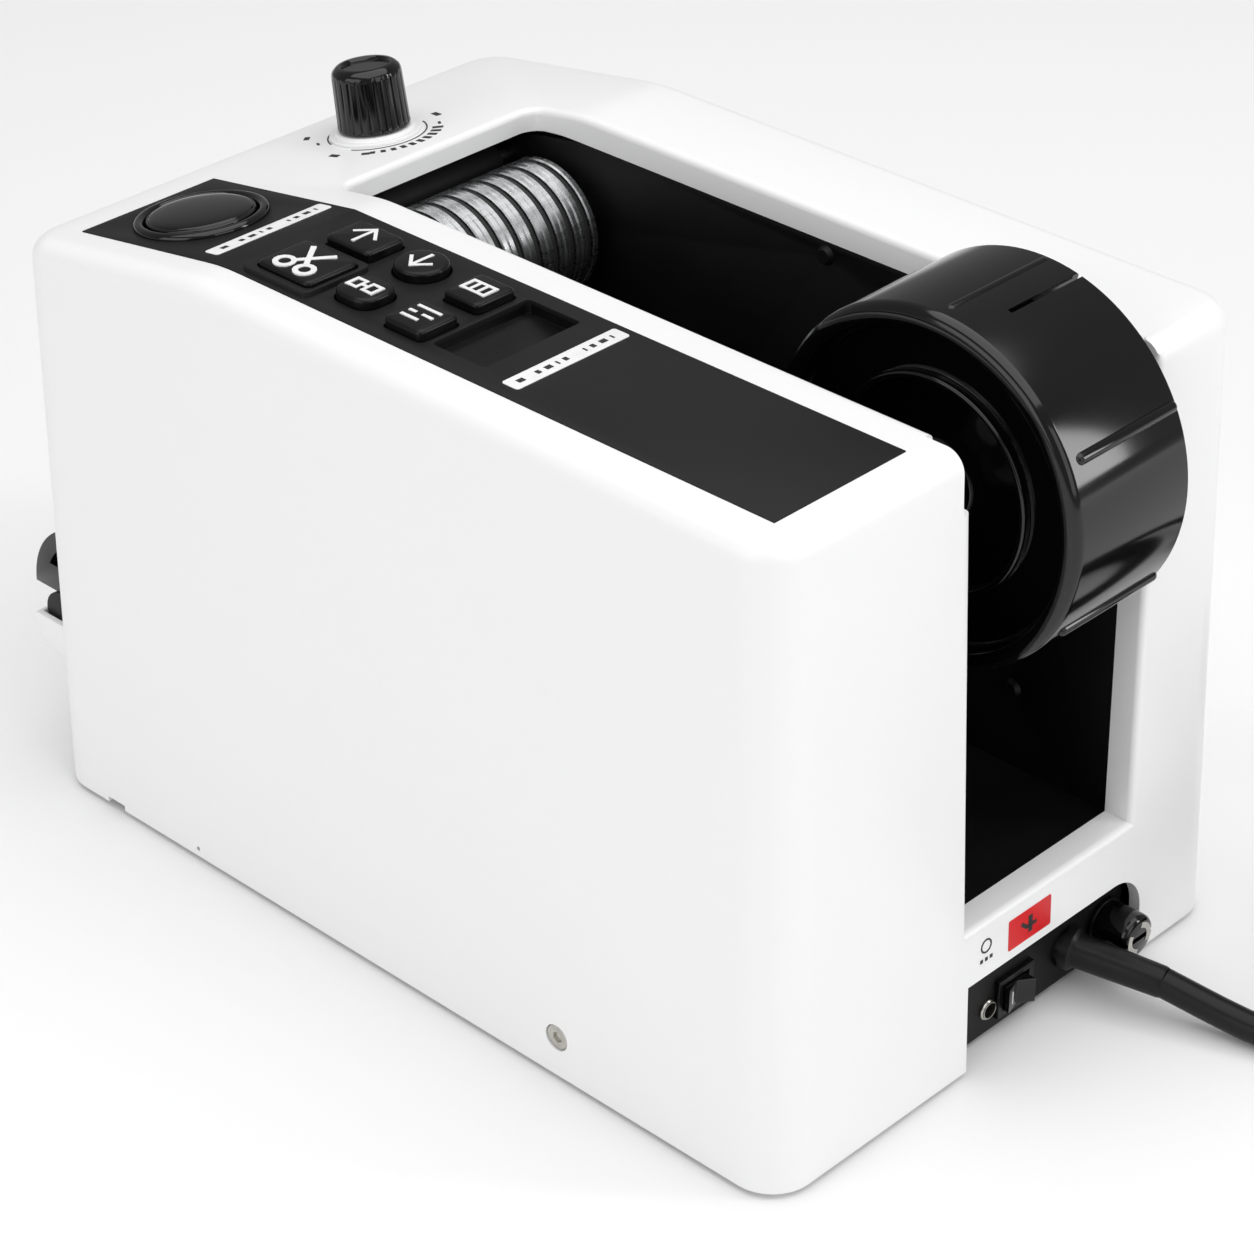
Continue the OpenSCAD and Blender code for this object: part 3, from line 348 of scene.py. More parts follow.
shell_lo, shell_hi = low("housing"), high("housing")
LOW_Z, TOP_Z = shell_lo.z, shell_hi.z
FRONT, REAR = shell_lo.y, shell_hi.y
HALF_W = shell_hi.x
BEND = FRONT + SLOPE_LONG
SLOPE = SLOPE_FALL / SLOPE_LONG
CH_FAR = -HALF_W + FAR_WING
CH_NEAR = CH_FAR + CHANNEL_W
CH_MID = (CH_FAR + CH_NEAR) / 2
CH_FRONT = BEND - 14.5
UPSTAND = REAR - 5.2    # outer face of the base plate's rear upstand

# Moulded ABS, satin: an even white whose gloss hardly drifts, over a very fine spark texture.
white_abs = surface("moulded_abs_white", "#f4f4f4", "#f3f3f3", 0.28, 0.3, 160, 1.5, 0.0004)


def top_height(y):
    """The top is level behind the bend and falls in front of it, with a soft change between."""
    soft = 1.6
    ahead = (BEND - y) / soft
    fall = soft * math.log1p(math.exp(ahead)) if ahead < 30 else BEND - y
    return TOP_Z - fall * SLOPE


def outline(half_w, front, rear, radius):
    """Plan of the shell, in mirrored pairs from the middle of the front round to the rear."""
    right = []
    for k in range(9):
        turn = math.radians(-90 + 90 * k / 8)
        right.append((half_w - radius + radius * math.cos(turn), front + radius + radius * math.sin(turn)))
    right += [(half_w, BEND + step) for step in (-6, -4, -2.6, -1.3, 0, 1.3, 2.6, 4, 6)]
    for k in range(9):
        turn = math.radians(90 * k / 8)
        right.append((half_w - radius + radius * math.cos(turn), rear - radius + radius * math.sin(turn)))
    return right + [(-x, y) for x, y in reversed(right)]


def loft(made, rings, caps=True):
    """Joins rings of points, each as long as the others, and closes both ends across mirrored pairs."""
    rows = [[made.verts.new(Vector(p)) for p in ring] for ring in rings]
    count = len(rows[0])
    faces = []
    for a, b in zip(rows, rows[1:]):
        for i in range(count):
            j = (i + 1) % count
            faces.append(made.faces.new((a[i], a[j], b[j], b[i])))
    if caps:
        for row in (rows[0], rows[-1]):
            for i in range(count // 2 - 1):
                faces.append(made.faces.new((row[i], row[i + 1], row[count - 2 - i], row[count - 1 - i])))
    bmesh.ops.recalc_face_normals(made, faces=faces)


def shell(inset, bottom, shift=(0, 0, 0)):
    """The body's solid, inset by a wall and moved, as a mesh object in millimetres."""
    move = Vector(shift)
    base = outline(HALF_W - inset, FRONT + inset, REAR - inset, CORNER_R - inset)
    rings = [[Vector((x, y, bottom)) + move for x, y in base]]
    edge = EDGE_R - inset
    for k in range(8):
        turn = math.radians(90 * k / 7)
        pull = inset + edge * (1 - math.cos(turn))
        plan = outline(HALF_W - SIDE_DRAFT - pull, FRONT + 0.2 + pull, REAR - REAR_DRAFT - pull,
                       CORNER_R - pull)
        rings.append([Vector((x, y, top_height(y) - EDGE_R + edge * math.sin(turn))) + move
                      for x, y in plan])
    made = bmesh.new()
    loft(made, rings)
    return solid(made)


def solid(made):
    """A scratch object for boolean work, in millimetres."""
    mesh = bpy.data.meshes.new("scratch")
    made.to_mesh(mesh)
    made.free()
    thing = bpy.data.objects.new("scratch", mesh)
    bpy.context.scene.collection.objects.link(thing)
    return thing


def combine(target, tool, operation):
    """Applies a boolean and removes both scratch objects."""
    modifier = target.modifiers.new("cut", "BOOLEAN")
    modifier.operation = operation
    modifier.solver = "EXACT"
    modifier.object = tool
    bpy.context.view_layer.update()
    mesh = bpy.data.meshes.new_from_object(target.evaluated_get(bpy.context.evaluated_depsgraph_get()))
    for old in (target, tool):
        bpy.data.objects.remove(old)
    thing = bpy.data.objects.new("scratch", mesh)
    bpy.context.scene.collection.objects.link(thing)
    return thing


def prism(points, start, end, axis):
    """A straight solid over a closed outline of two-number points, between two values along an axis."""
    made = bmesh.new()
    order = {"x": (2, 0, 1), "y": (0, 2, 1), "z": (0, 1, 2)}[axis]
    a, b = [[made.verts.new([(*p, at)[n] for n in order]) for p in points] for at in (start, end)]
    faces = [made.faces.new(a), made.faces.new(b)]
    for i in range(len(points)):
        j = (i + 1) % len(points)
        faces.append(made.faces.new((a[i], a[j], b[j], b[i])))
    bmesh.ops.recalc_face_normals(made, faces=faces)
    return solid(made)


def box_solid(a, b):
    """A straight block between two corners."""
    return prism([(a[0], a[1]), (b[0], a[1]), (b[0], b[1]), (a[0], b[1])], a[2], b[2], "z")


def channel_solid(bottom, grow):
    """The tape channel's space, flared towards the top and open at the rear."""
    rings = []
    radius = 4
    for z in (bottom, TOP_Z + 4):
        out = FLARE * (z - LOW_Z) / (TOP_Z - LOW_Z) + grow
        left, right, front = CH_FAR - out, CH_NEAR + out, CH_FRONT - grow
        half, middle_x = (right - left) / 2, (left + right) / 2
        side = []
        for k in range(7):
            turn = math.radians(-90 + 90 * k / 6)
            side.append((half - radius + radius * math.cos(turn), front + radius + radius * math.sin(turn)))
        side.append((half, REAR + 6))
        ring = side + [(-x, y) for x, y in reversed(side)]
        rings.append([(middle_x + x, y, z) for x, y in ring])
    made = bmesh.new()
    loft(made, rings)
    return solid(made)


STRIP_LOW = LOW_Z + 20.5    # the strip of wall left over the connectors
STRIP_TOP = LOW_Z + 33.5
RECESS_R = 9
recess_x = CH_FAR - 4.8
panel_lo, panel_hi = low("control_panel"), high("control_panel")
strip_back = box_solid((recess_x - 1.5, REAR - 20, STRIP_LOW + 0.01),
                       (CH_NEAR + 2.3, REAR + 5.9, STRIP_TOP))
rim = combine(channel_solid(STRIP_LOW, 2.4), strip_back, "UNION")
rim = combine(rim, shell(0, LOW_Z - 20, (0, -RIM_DEPTH, -RIM_DEPTH)), "DIFFERENCE")
hollow = combine(shell(WALL, LOW_Z - 2), rim, "DIFFERENCE")
body = combine(shell(0, LOW_Z), hollow, "DIFFERENCE")


def cut_away(tool):
    """Takes a solid out of the housing."""
    global body
    body = combine(body, tool, "DIFFERENCE")


# The channel, the recess round the connectors and the notch behind the near wing.
cut_away(channel_solid(STRIP_TOP, 0))
recess_turns = [math.radians(180 - 90 * k / 10) for k in range(11)]
recess_corner = [(recess_x + RECESS_R + RECESS_R * math.cos(turn),
                  STRIP_LOW - RECESS_R + RECESS_R * math.sin(turn)) for turn in recess_turns]
recess_line = ([(recess_x, LOW_Z - 3)] + recess_corner
               + [(CH_NEAR, STRIP_LOW), (CH_NEAR, LOW_Z - 3)])
cut_away(prism(recess_line, UPSTAND - 8, REAR + 3, "y"))
notch_y = REAR - REAR_DRAFT - 9.5
cut_away(box_solid((CH_NEAR - 6, notch_y, TOP_Z - 13), (CH_NEAR + 4.6, REAR + 3, TOP_Z + 3)))

# A shallow seat for the panel film, and the opening under it for the keys and the display.
SEAT = 0.8
seat_y0, seat_y1 = panel_lo.y - 0.1, panel_hi.y + 0.1
seat_line = [(seat_y0, top_height(seat_y0) - SEAT), (BEND, TOP_Z - SEAT), (seat_y1, TOP_Z - SEAT),
             (seat_y1, TOP_Z + 4), (seat_y0, TOP_Z + 4)]
cut_away(prism(seat_line, panel_lo.x - 0.1, panel_hi.x + 0.1, "x"))
OPENING_END = 66
inner_line = [(seat_y0 + 3, TOP_Z - 20), (OPENING_END, TOP_Z - 20),
              (OPENING_END, TOP_Z + 6), (seat_y0 + 3, TOP_Z + 6)]
cut_away(prism(inner_line, panel_lo.x + 2.4, panel_hi.x - 2.4, "x"))


def round_solid(radius, start, end, steps=32):
    """A straight round rod between two points."""
    made = bmesh.new()
    span = (Vector(end) - Vector(start)).length
    spin(made, [(0, 0), (radius, 0), (radius, span), (0, span)], along(start, end), steps)
    return solid(made)


slope_turn = math.atan(SLOPE)


def on_slope(x, v, w):
    """A point on the sloping front of the top: across, along from the bend, and over it."""
    return Vector((x, BEND + v * math.cos(slope_turn) - w * math.sin(slope_turn),
                   TOP_Z + v * math.sin(slope_turn) + w * math.cos(slope_turn)))


# Holes for the dial, the side screws with their sunk heads, a moulding vent and a foot notch.
DIAL_V = -34.5
cut_away(round_solid(3.7, on_slope(CH_MID, DIAL_V, -6), on_slope(CH_MID, DIAL_V, 6)))
SCREW_HEAD_R = 3
SCREW_HOLE_R = 1.7
screw_y, screw_z = FRONT + 157.5, LOW_Z + 9.2
for side in (-1, 1):
    cut_away(round_solid(SCREW_HEAD_R, (side * (HALF_W - 1.45), screw_y, screw_z),
                         (side * (HALF_W + 3), screw_y, screw_z)))
    cut_away(round_solid(SCREW_HOLE_R, (side * (HALF_W - 6), screw_y, screw_z),
                         (side * (HALF_W + 4), screw_y, screw_z)))
vent_y, vent_z = FRONT + 48.4, LOW_Z + 1.9
cut_away(round_solid(0.6, (HALF_W - 4, vent_y, vent_z), (HALF_W + 3, vent_y, vent_z), 12))
cut_away(box_solid((HALF_W - 4, FRONT + 18, LOW_Z - 3), (HALF_W + 3, FRONT + 23.5, LOW_Z + 1.3)))

# The front wall's openings: the tape's mouth, the release tab's slot, the tray's and the hinges' holes.
front_in, front_out = FRONT - 2, FRONT + WALL + 3
cut_away(box_solid((-33, front_in, LOW_Z + 32.5), (33, front_out, LOW_Z + 52.5)))
cut_away(box_solid((CH_MID - 3.2, front_in, TOP_Z - 19.2), (CH_MID + 3.2, front_out, TOP_Z - 14.8)))
for x in (-40, 40):
    cut_away(box_solid((x - 4.1, front_in, LOW_Z + 26.5), (x + 4.1, front_out - 1, LOW_Z + 28.7)))
LUG_X = 51.1
LUG_Z = 58
for side in (-1, 1):
    lug_x = side * LUG_X
    cut_away(round_solid(1.6, (lug_x, front_in, LUG_Z), (lug_x, front_out, LUG_Z), 20))


def soften(made, wanted, width, segments):
    """Rounds the edges that a test picks out."""
    bmesh.ops.remove_doubles(made, verts=made.verts, dist=0.002)
    edges = [e for e in made.edges if len(e.link_faces) == 2 and e.calc_face_angle(0) > math.radians(40)
             and wanted((e.verts[0].co + e.verts[1].co) / 2)]
    bmesh.ops.bevel(made, geom=edges, offset=width, offset_type="OFFSET", segments=segments, profile=0.5,
                    affect="EDGES", clamp_overlap=False)


def rim_edge(p):
    """The channel's mouth, on the top face or the rear face."""
    out = FLARE * (p.z - LOW_Z) / (TOP_Z - LOW_Z)
    inside = CH_FAR - out - 0.3 < p.x < CH_NEAR + out + 0.3 and p.y > CH_FRONT - 0.3
    rear_at = REAR - REAR_DRAFT * (p.z - LOW_Z) / (TOP_Z - LOW_Z)
    on_top = abs(p.z - top_height(p.y)) < 0.05
    on_rear = p.y > rear_at - 0.4 and p.z > STRIP_TOP - 0.3
    return inside and (on_top or on_rear)


shell_mesh = bmesh.new()
shell_mesh.from_mesh(body.data)
bpy.data.objects.remove(body)
soften(shell_mesh, rim_edge, 1.6, 5)
add_piece("housing_shell", shell_mesh, "root", white_abs, ["housing"])


# ---- Reel ----
# The reel is moulded in gloss black ABS: a drum for 3-inch tape cores with a rolled lip and a dished
# face, grip ribs every 60 degrees, and slots beside every other rib that free the spring tabs.
REEL_R = 37.8
REEL_W = 34.5
SLOT_END = -13.9
reel_lo, reel_hi = low("reel_drum"), high("reel_drum")
reel_y, reel_z = REAR - 30, TOP_Z - 25
reel_far = CH_FAR - FLARE + 5.5
reel_near = reel_far + REEL_W
reel_line = along((0, reel_y, reel_z), (1, reel_y, reel_z))

# Moulded ABS with a polished face: deep black and mirror-like, with faint flow marks.
gloss_black = surface("moulded_abs_gloss_black", "#080808", "#050505", 0.07, 0.12, 26, 5.0, 0.002)


def arc(centre, radius, start, end, steps=6):
    """Points of a round stretch of an outline, in degrees."""
    turns = [math.radians(start + (end - start) * k / steps) for k in range(steps + 1)]
    return [(centre[0] + radius * math.cos(t), centre[1] + radius * math.sin(t)) for t in turns]


drum = ([(REEL_R - 2.2, reel_far), (REEL_R - 0.5, reel_far), (REEL_R, reel_far + 0.5)]
        + arc((REEL_R - 2.2, reel_near - 2.2), 2.2, 0, 90)
        + arc((REEL_R - 3.2, reel_near - 0.9), 0.9, 90, 180, 4)
        + [(REEL_R - 4.6, reel_near - 3.2)] + arc((REEL_R - 5.6, reel_near - 3.2), 1, 0, -80, 4)
        + [(24.2, reel_near - 4.9), (23.4, reel_near - 4.6)] + arc((22.6, reel_near - 3.2), 0.8, 0, 180, 6)
        + [(21.6, reel_near - 5.2), (20.6, reel_near - 5.6), (12, reel_near - 5.9), (9.4, reel_near - 5.4),
           (8.5, reel_near - 4.6), (8.5, reel_hi.x - 0.6), (7.9, reel_hi.x), (4.2, reel_hi.x),
           (4.2, reel_lo.x), (7.9, reel_lo.x), (8.5, reel_lo.x + 0.6), (8.5, reel_near - 8.6),
           (REEL_R - 3.4, reel_near - 8.6), (REEL_R - 2.2, reel_near - 9.8)])
drum_mesh = bmesh.new()
spin(drum_mesh, drum, reel_line, 144)
drum_body = solid(drum_mesh)


def round_reel(turn, radius, x):
    """A point on the reel at an angle from +Y towards +Z."""
    a = math.radians(turn)
    return Vector((x, reel_y + radius * math.cos(a), reel_z + radius * math.sin(a)))


def reel_block(turn, half, r0, r1, x0, x1):
    """A block along the reel at an angle, between two radii and two places along the axle."""
    made = bmesh.new()
    a = math.radians(turn)
    across = Vector((0, -math.sin(a), math.cos(a))) * half
    corners = [[round_reel(turn, r, x) + s * across for s in (-1, 1)] for x in (x0, x1) for r in (r0, r1)]
    points = [made.verts.new(p) for pair in corners for p in pair]
    faces = [made.faces.new([points[i] for i in ring]) for ring in
             ((0, 1, 3, 2), (4, 6, 7, 5), (0, 2, 6, 4), (1, 5, 7, 3), (0, 4, 5, 1), (2, 3, 7, 6))]
    bmesh.ops.recalc_face_normals(made, faces=faces)
    return made


for k in range(3):
    slot = reel_block(76 + 120 * k, 0.55, REEL_R - 3.4, REEL_R + 2, reel_far - 1, SLOT_END)
    drum_body = combine(drum_body, solid(slot), "DIFFERENCE")
drum_mesh = bmesh.new()
drum_mesh.from_mesh(drum_body.data)
bpy.data.objects.remove(drum_body)
RIB_R = 1.3
RIB_L = 30.3
rib = [(0, 0)] + arc((0, RIB_R), RIB_R, -60, 0, 4) + arc((0, RIB_L - RIB_R), RIB_R, 0, 60, 4) + [(0, RIB_L)]
for k in range(6):
    turn = 88 + 60 * k
    sunk = 0.95 if k == 0 else 0.4    # the uppermost rib lies deeper, which keeps it inside the CAD box
    start, end = [round_reel(turn, REEL_R - sunk, x) for x in (reel_far + 0.4, reel_near)]
    spin(drum_mesh, rib, along(start, end), 20)
add_piece("reel", drum_mesh, "reel", gloss_black, ["reel_drum"])


# ---- Feed roller ----
# Turned aluminium with ten lands, each broken at its edges. Dark rubber rings sit in the grooves
# between them, and the turned and brushed lands carry fine streaks along the roller.
ROLLER_R = 15.3
BORE_R = 3.02
ROLLER_PITCH = 5
GROOVE = 1.6    # depth of a groove, and its width too
ROLLER_HALF = 25
roller_y, roller_z = BEND - 6.5, TOP_Z - 26.5
roller_line = along((0, roller_y, roller_z), (1, roller_y, roller_z))
# Turned and brushed aluminium: bright bands broken by short streaks along the roller.
brushed_aluminium = surface("brushed_aluminium", "#eceeef", "#cfd1d3", 0.24, 0.32, 1.4, 0.5, 0.0006,
                            (0.08, 1, 1), Metallic=1.0)
# Moulded nitrile rubber: dull black that takes almost no highlight.
groove_rubber = surface("nitrile_rubber_black", "#1b1b1b", "#121212", 0.55, 0.7, 4, 0.6, 0.01)
roller_outline = [(BORE_R, CH_MID - ROLLER_HALF)]
edge_r, floor_r = ROLLER_R - 0.3, ROLLER_R - GROOVE
for k in range(10):
    start = CH_MID - ROLLER_HALF + ROLLER_PITCH * k
    groove = start + ROLLER_PITCH / 2
    roller_outline += [(edge_r, start + 0.001), (ROLLER_R, start + 0.3), (ROLLER_R, groove - 1.1),
                       (edge_r, groove - 0.8), (floor_r, groove - 0.8), (floor_r, groove + 0.8),
                       (edge_r, groove + 0.8), (ROLLER_R, groove + 1.1), (ROLLER_R, start + 4.7)]
roller_outline += [(edge_r, CH_MID + ROLLER_HALF), (BORE_R, CH_MID + ROLLER_HALF)]
roller_mesh = bmesh.new()
spin(roller_mesh, roller_outline, roller_line, 96)
add_piece("feed_roller_turned", roller_mesh, "feed", brushed_aluminium, ["feed_roller"])


def rings_tree(finish):
    """Repeats a mesh in a row. Inputs: how many, and the step from one to the next."""
    tree = bpy.data.node_groups.new("ring_row", "GeometryNodeTree")
    face = tree.interface
    face.new_socket("Geometry", in_out="INPUT", socket_type="NodeSocketGeometry")
    count = face.new_socket("Count", in_out="INPUT", socket_type="NodeSocketInt")
    pitch = face.new_socket("Pitch", in_out="INPUT", socket_type="NodeSocketVector")
    face.new_socket("Geometry", in_out="OUTPUT", socket_type="NodeSocketGeometry")
    start = add(tree, "NodeGroupInput")
    row = add(tree, "GeometryNodeMeshLine",
              {"Count": start.outputs["Count"], "Offset": start.outputs["Pitch"]})
    placed = add(tree, "GeometryNodeInstanceOnPoints",
                 {"Points": row.outputs["Mesh"], "Instance": start.outputs["Geometry"]})
    real = add(tree, "GeometryNodeRealizeInstances", {"Geometry": placed.outputs["Instances"]})
    coloured = add(tree, "GeometryNodeSetMaterial",
                   {"Geometry": real.outputs["Geometry"], "Material": finish})
    add(tree, "NodeGroupOutput", {"Geometry": coloured.outputs["Geometry"]})
    return tree, count.identifier, pitch.identifier


def repeat(made, finish, count, pitch):
    """Runs the row tree on a mesh in millimetres and gives back one mesh in millimetres."""
    thing = solid(made)
    tree, count_key, pitch_key = rings_tree(finish)
    modifier = thing.modifiers.new("row", "NODES")
    modifier.node_group = tree
    modifier[count_key] = count
    modifier[pitch_key] = pitch
    bpy.context.view_layer.update()
    mesh = bpy.data.meshes.new_from_object(thing.evaluated_get(bpy.context.evaluated_depsgraph_get()))
    bpy.data.objects.remove(thing)
    result = bmesh.new()
    result.from_mesh(mesh)
    return result


ring_mesh = bmesh.new()
ring_x = CH_MID - ROLLER_HALF + ROLLER_PITCH / 2
crest = ROLLER_R - 0.8
ring_outline = ([(floor_r, ring_x - 0.6)] + arc((crest, ring_x - 0.3), 0.3, -90, 0, 3)
                + arc((crest, ring_x + 0.3), 0.3, 0, 90, 3) + [(floor_r, ring_x + 0.6)])
spin(ring_mesh, ring_outline, roller_line, 64)
rings = repeat(ring_mesh, groove_rubber, 10, (ROLLER_PITCH, 0.0, 0.0))
add_piece("roller_rubber_rings", rings, "feed", groove_rubber, ["roller_rings"])


# ---- Control panel and keys ----
# A thin textured film over the near wing, with loose moulded keys that stand through it. Their tops
# are slightly crowned, and their marks are printed in white.
# Textured polyester film: a flat dark grey that spreads the light, with no clear reflection.
panel_film = surface("textured_polyester_film_black", "#1e1e1e", "#1b1b1b", 0.46, 0.52, 60, 0.5, 0.002,
                     Specular_IOR_Level=0.18)
# Moulded ABS, satin: black, with a soft highlight along the rounded edges.
key_black = surface("moulded_abs_satin_black", "#0b0b0b", "#090909", 0.26, 0.33, 12, 0.7, 0.001,
                    Specular_IOR_Level=0.28)
# Screen-printed inks: flat and slightly chalky, so they stay even under the lights.
print_white = surface("screen_print_white", "#f2f2f2", "#e4e4e4", 0.45, 0.55, 3, 0.3, 0.002)
print_black = surface("screen_print_black", "#2a2a2a", "#1c1c1c", 0.45, 0.6, 2, 0.3, 0.002)


def soft_copy(name, node, body, finish, width, segments=3):
    """A CAD node's own shape with its edges rounded, standing for the node."""
    made = bmesh.new()
    made.from_mesh(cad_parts[node].data)
    made.transform(Matrix.Scale(1 / MM, 4))
    bmesh.ops.remove_doubles(made, verts=made.verts, dist=0.003)
    bmesh.ops.dissolve_limit(made, angle_limit=math.radians(1), verts=made.verts, edges=made.edges)
    sharp = math.radians(40)
    edges = [e for e in made.edges if len(e.link_faces) == 2 and e.calc_face_angle(0) > sharp]
    bmesh.ops.bevel(made, geom=edges, offset=width, offset_type="OFFSET", segments=segments, profile=0.5,
                    affect="EDGES", clamp_overlap=True)
    bmesh.ops.triangulate(made, faces=[f for f in made.faces if len(f.verts) > 4])
    return add_piece(name, made, body, finish, [node])


soft_copy("panel_film", "control_panel", "root", panel_film, 0.12, segments=2)
soft_copy("display_recess", "display_window", "root", key_black, 0.1, segments=2)


def pad_outline(cx, cy, wide, long, r, pull=0.0, steps=6):
    """A rounded rectangle's points, pulled in all round, in mirrored pairs."""
    r = max(r - pull, 0.15)
    half_w, half_l = wide / 2 - pull, long / 2 - pull
    side = []
    for c, start in ((-1, -90), (1, 0)):
        for k in range(steps + 1):
            turn = math.radians(start + 90 * k / steps)
            side.append((half_w - r + r * math.cos(turn), c * (half_l - r) + r * math.sin(turn)))
    ring = side + [(-x, y) for x, y in reversed(side)]
    return [(cx + x, cy + y) for x, y in ring]


def pad_loft(made, cx, cy, wide, long, r, z0, z1, edge, place=None, crown=0.0):
    """A rounded block whose upper edge is a quarter round, with a low crown."""
    place = place or Matrix.Identity(4)
    rings = [[place @ Vector((x, y, z0)) for x, y in pad_outline(cx, cy, wide, long, r)]]
    for k in range(5):
        turn = math.radians(90 * k / 4)
        pull = edge * (1 - math.cos(turn))
        height = z1 - crown - edge + edge * math.sin(turn)
        rings.append([place @ Vector((x, y, height)) for x, y in pad_outline(cx, cy, wide, long, r, pull)])
    if crown:
        inner = edge + min(wide, long) * 0.3
        rings.append([place @ Vector((x, y, z1)) for x, y in pad_outline(cx, cy, wide, long, r, inner)])
    loft(made, rings)


PANEL_X = (panel_lo.x + panel_hi.x) / 2
KEY_Y = BEND + 14
PITCH = 16.6
KEY_TOP = high("mode_key").z
# Each key's middle, width, length and corner radius.
KEYS = {
    "cut_key": (PANEL_X + 7.7, KEY_Y, 13.6, 15.4, 1.6),
    "feed_key": (PANEL_X - 7.6, KEY_Y, 10.2, 12.8, 1.4),
    "back_key": (PANEL_X - 7.7, KEY_Y + PITCH - 0.3, 11.2, 11.2, 5.5),
    "mode_key": (PANEL_X + 7.7, KEY_Y + PITCH, 9.8, 10.6, 3.6),
    "length_key": (PANEL_X + 8.5, KEY_Y + 2 * PITCH, 10.4, 10.6, 1.4),
    "count_key": (PANEL_X - 7.0, KEY_Y + 2 * PITCH, 10.8, 9.8, 1.4),
}


def stroke(made, points, width, z0, z1, place=None):
    """A printed line through points as one flat mitred bar, closed if its ends meet."""
    place = place or Matrix.Identity(4)
    run = [Vector(p) for p in points]
    ring = len(run) > 2 and (run[0] - run[-1]).length < 1e-4
    if ring:
        run = run[:-1]
    count = len(run)
    rows = []
    for i, p in enumerate(run):
        into = (p - run[i - 1]).normalized() if ring or i else None
        out = (run[(i + 1) % count] - p).normalized() if ring or i < count - 1 else None
        into, out = into or out, out or into
        onward = (into + out).normalized()
        across = Vector((-onward.y, onward.x))
        across *= width / 2 / max(0.5, across.dot(Vector((-out.y, out.x))))
        rows.append([made.verts.new(place @ Vector((q.x, q.y, z)))
                     for q, z in ((p + across, z0), (p - across, z0), (p - across, z1), (p + across, z1))])
    faces = []
    for i in range(count if ring else count - 1):
        a, b = rows[i], rows[(i + 1) % count]
        for k in range(4):
            m = (k + 1) % 4
            faces.append(made.faces.new((a[k], a[m], b[m], b[k])))
    if not ring:
        faces += [made.faces.new(rows[0]), made.faces.new(rows[-1])]
    bmesh.ops.recalc_face_normals(made, faces=faces)


def box_line(x0, y0, x1, y1):
    """A closed rectangle's corners."""
    return [(x0, y0), (x1, y0), (x1, y1), (x0, y1), (x0, y0)]


def key_marks(name):
    """Lines of each key's printed mark, around its middle: x across, y along the machine."""
    if name == "cut_key":
        return [arc((3.4, -2.9), 1.9, 0, 360, 14), arc((3.4, 2.9), 1.9, 0, 360, 14),
                [(1.9, -1.7), (-4.8, 3.4)], [(1.9, 1.7), (-4.8, -3.4)]]
    if name == "feed_key":
        return [[(0.2, -3.2), (-3.2, 0), (0.2, 3.2)], [(-3.0, 0), (3.4, 0)]]
    if name == "back_key":
        return [[(-0.2, -3.0), (3.0, 0), (-0.2, 3.0)], [(2.8, 0), (-3.2, 0)]]
    if name == "mode_key":
        return [box_line(-1.5, -3.4, 1.5, -0.9), box_line(-1.5, 0.9, 1.5, 3.4), [(0, -0.9), (0, 0.9)]]
    if name == "length_key":
        return [[(-2.4, -3.2), (-2.4, 3.2)], [(0, -3.2), (0, -1.2)], [(0, 0.4), (0, 3.2)],
                [(2.2, -3.2), (2.2, 1.4)]]
    return [box_line(-1.8, -3.0, 1.8, 3.0), [(-1.8, -1), (1.8, -1)], [(-1.8, 1), (1.8, 1)]]


for name, (cx, cy, wide, long, r) in KEYS.items():
    button = name.replace("key", "button")
    key_mesh = bmesh.new()
    pad_loft(key_mesh, cx, cy, wide, long, r, TOP_Z - 5.2, KEY_TOP - 0.1, 0.8, crown=0.25)
    pad_loft(key_mesh, cx, cy, wide + 1.4, long + 1.4, r + 0.7, TOP_Z - 2.6, TOP_Z - 1.1, 0.2)
    add_piece(name + "_cap", key_mesh, button, key_black, [name])
    marks = bmesh.new()
    thick = 1.15 if name == "cut_key" else 0.75
    for k, line in enumerate(key_marks(name)):
        ink_top = KEY_TOP - 0.01 + 0.01 * k    # each line a little higher, so that no two tops share a plane
        stroke(marks, [(cx + x, cy + y) for x, y in line], thick, KEY_TOP - 0.5, ink_top)
    add_piece(name + "_mark", marks, button, print_white)


# ---- Label strips ----
# White film strips with slightly rounded corners, one on the slope beside the start button and one
# behind the display, each with a row of plain dark dashes.
LABEL_LIFT = 0.2
LABEL_DASHES = 22


def label(name, x0, x1, y, wide, place):
    """A strip from x0 to x1, with dashes of three lengths and a gap now and then."""
    made = bmesh.new()
    pad_loft(made, (x0 + x1) / 2, y, x1 - x0, wide, 0.7, LABEL_LIFT, LABEL_LIFT + 0.14, 0.05, place)
    add_piece(name, made, "root", print_white)
    bars = bmesh.new()
    at = x0 + 2.6
    for k in range(LABEL_DASHES):
        long = 0.5 + 0.6 * ((k * 5) % 3)
        if at + long > x1 - 2:
            break
        if (k * 7) % 5 != 3:
            dash = [(at, y), (at + long, y)]
            stroke(bars, dash, wide * 0.3, LABEL_LIFT + 0.08, LABEL_LIFT + 0.17, place)
        at += long + 1.35
    add_piece(name + "_dashes", bars, "root", print_black)


slope_place = Matrix.Translation((0, BEND, TOP_Z)) @ Matrix.Rotation(slope_turn, 4, "X")
label("front_label", PANEL_X - 16.6, PANEL_X + 14.4, -7.6, 4.2, slope_place)
label("rear_label", PANEL_X - 16.0, PANEL_X + 14.4, 30.9, 4.4, Matrix.Translation((0, 0, TOP_Z)))


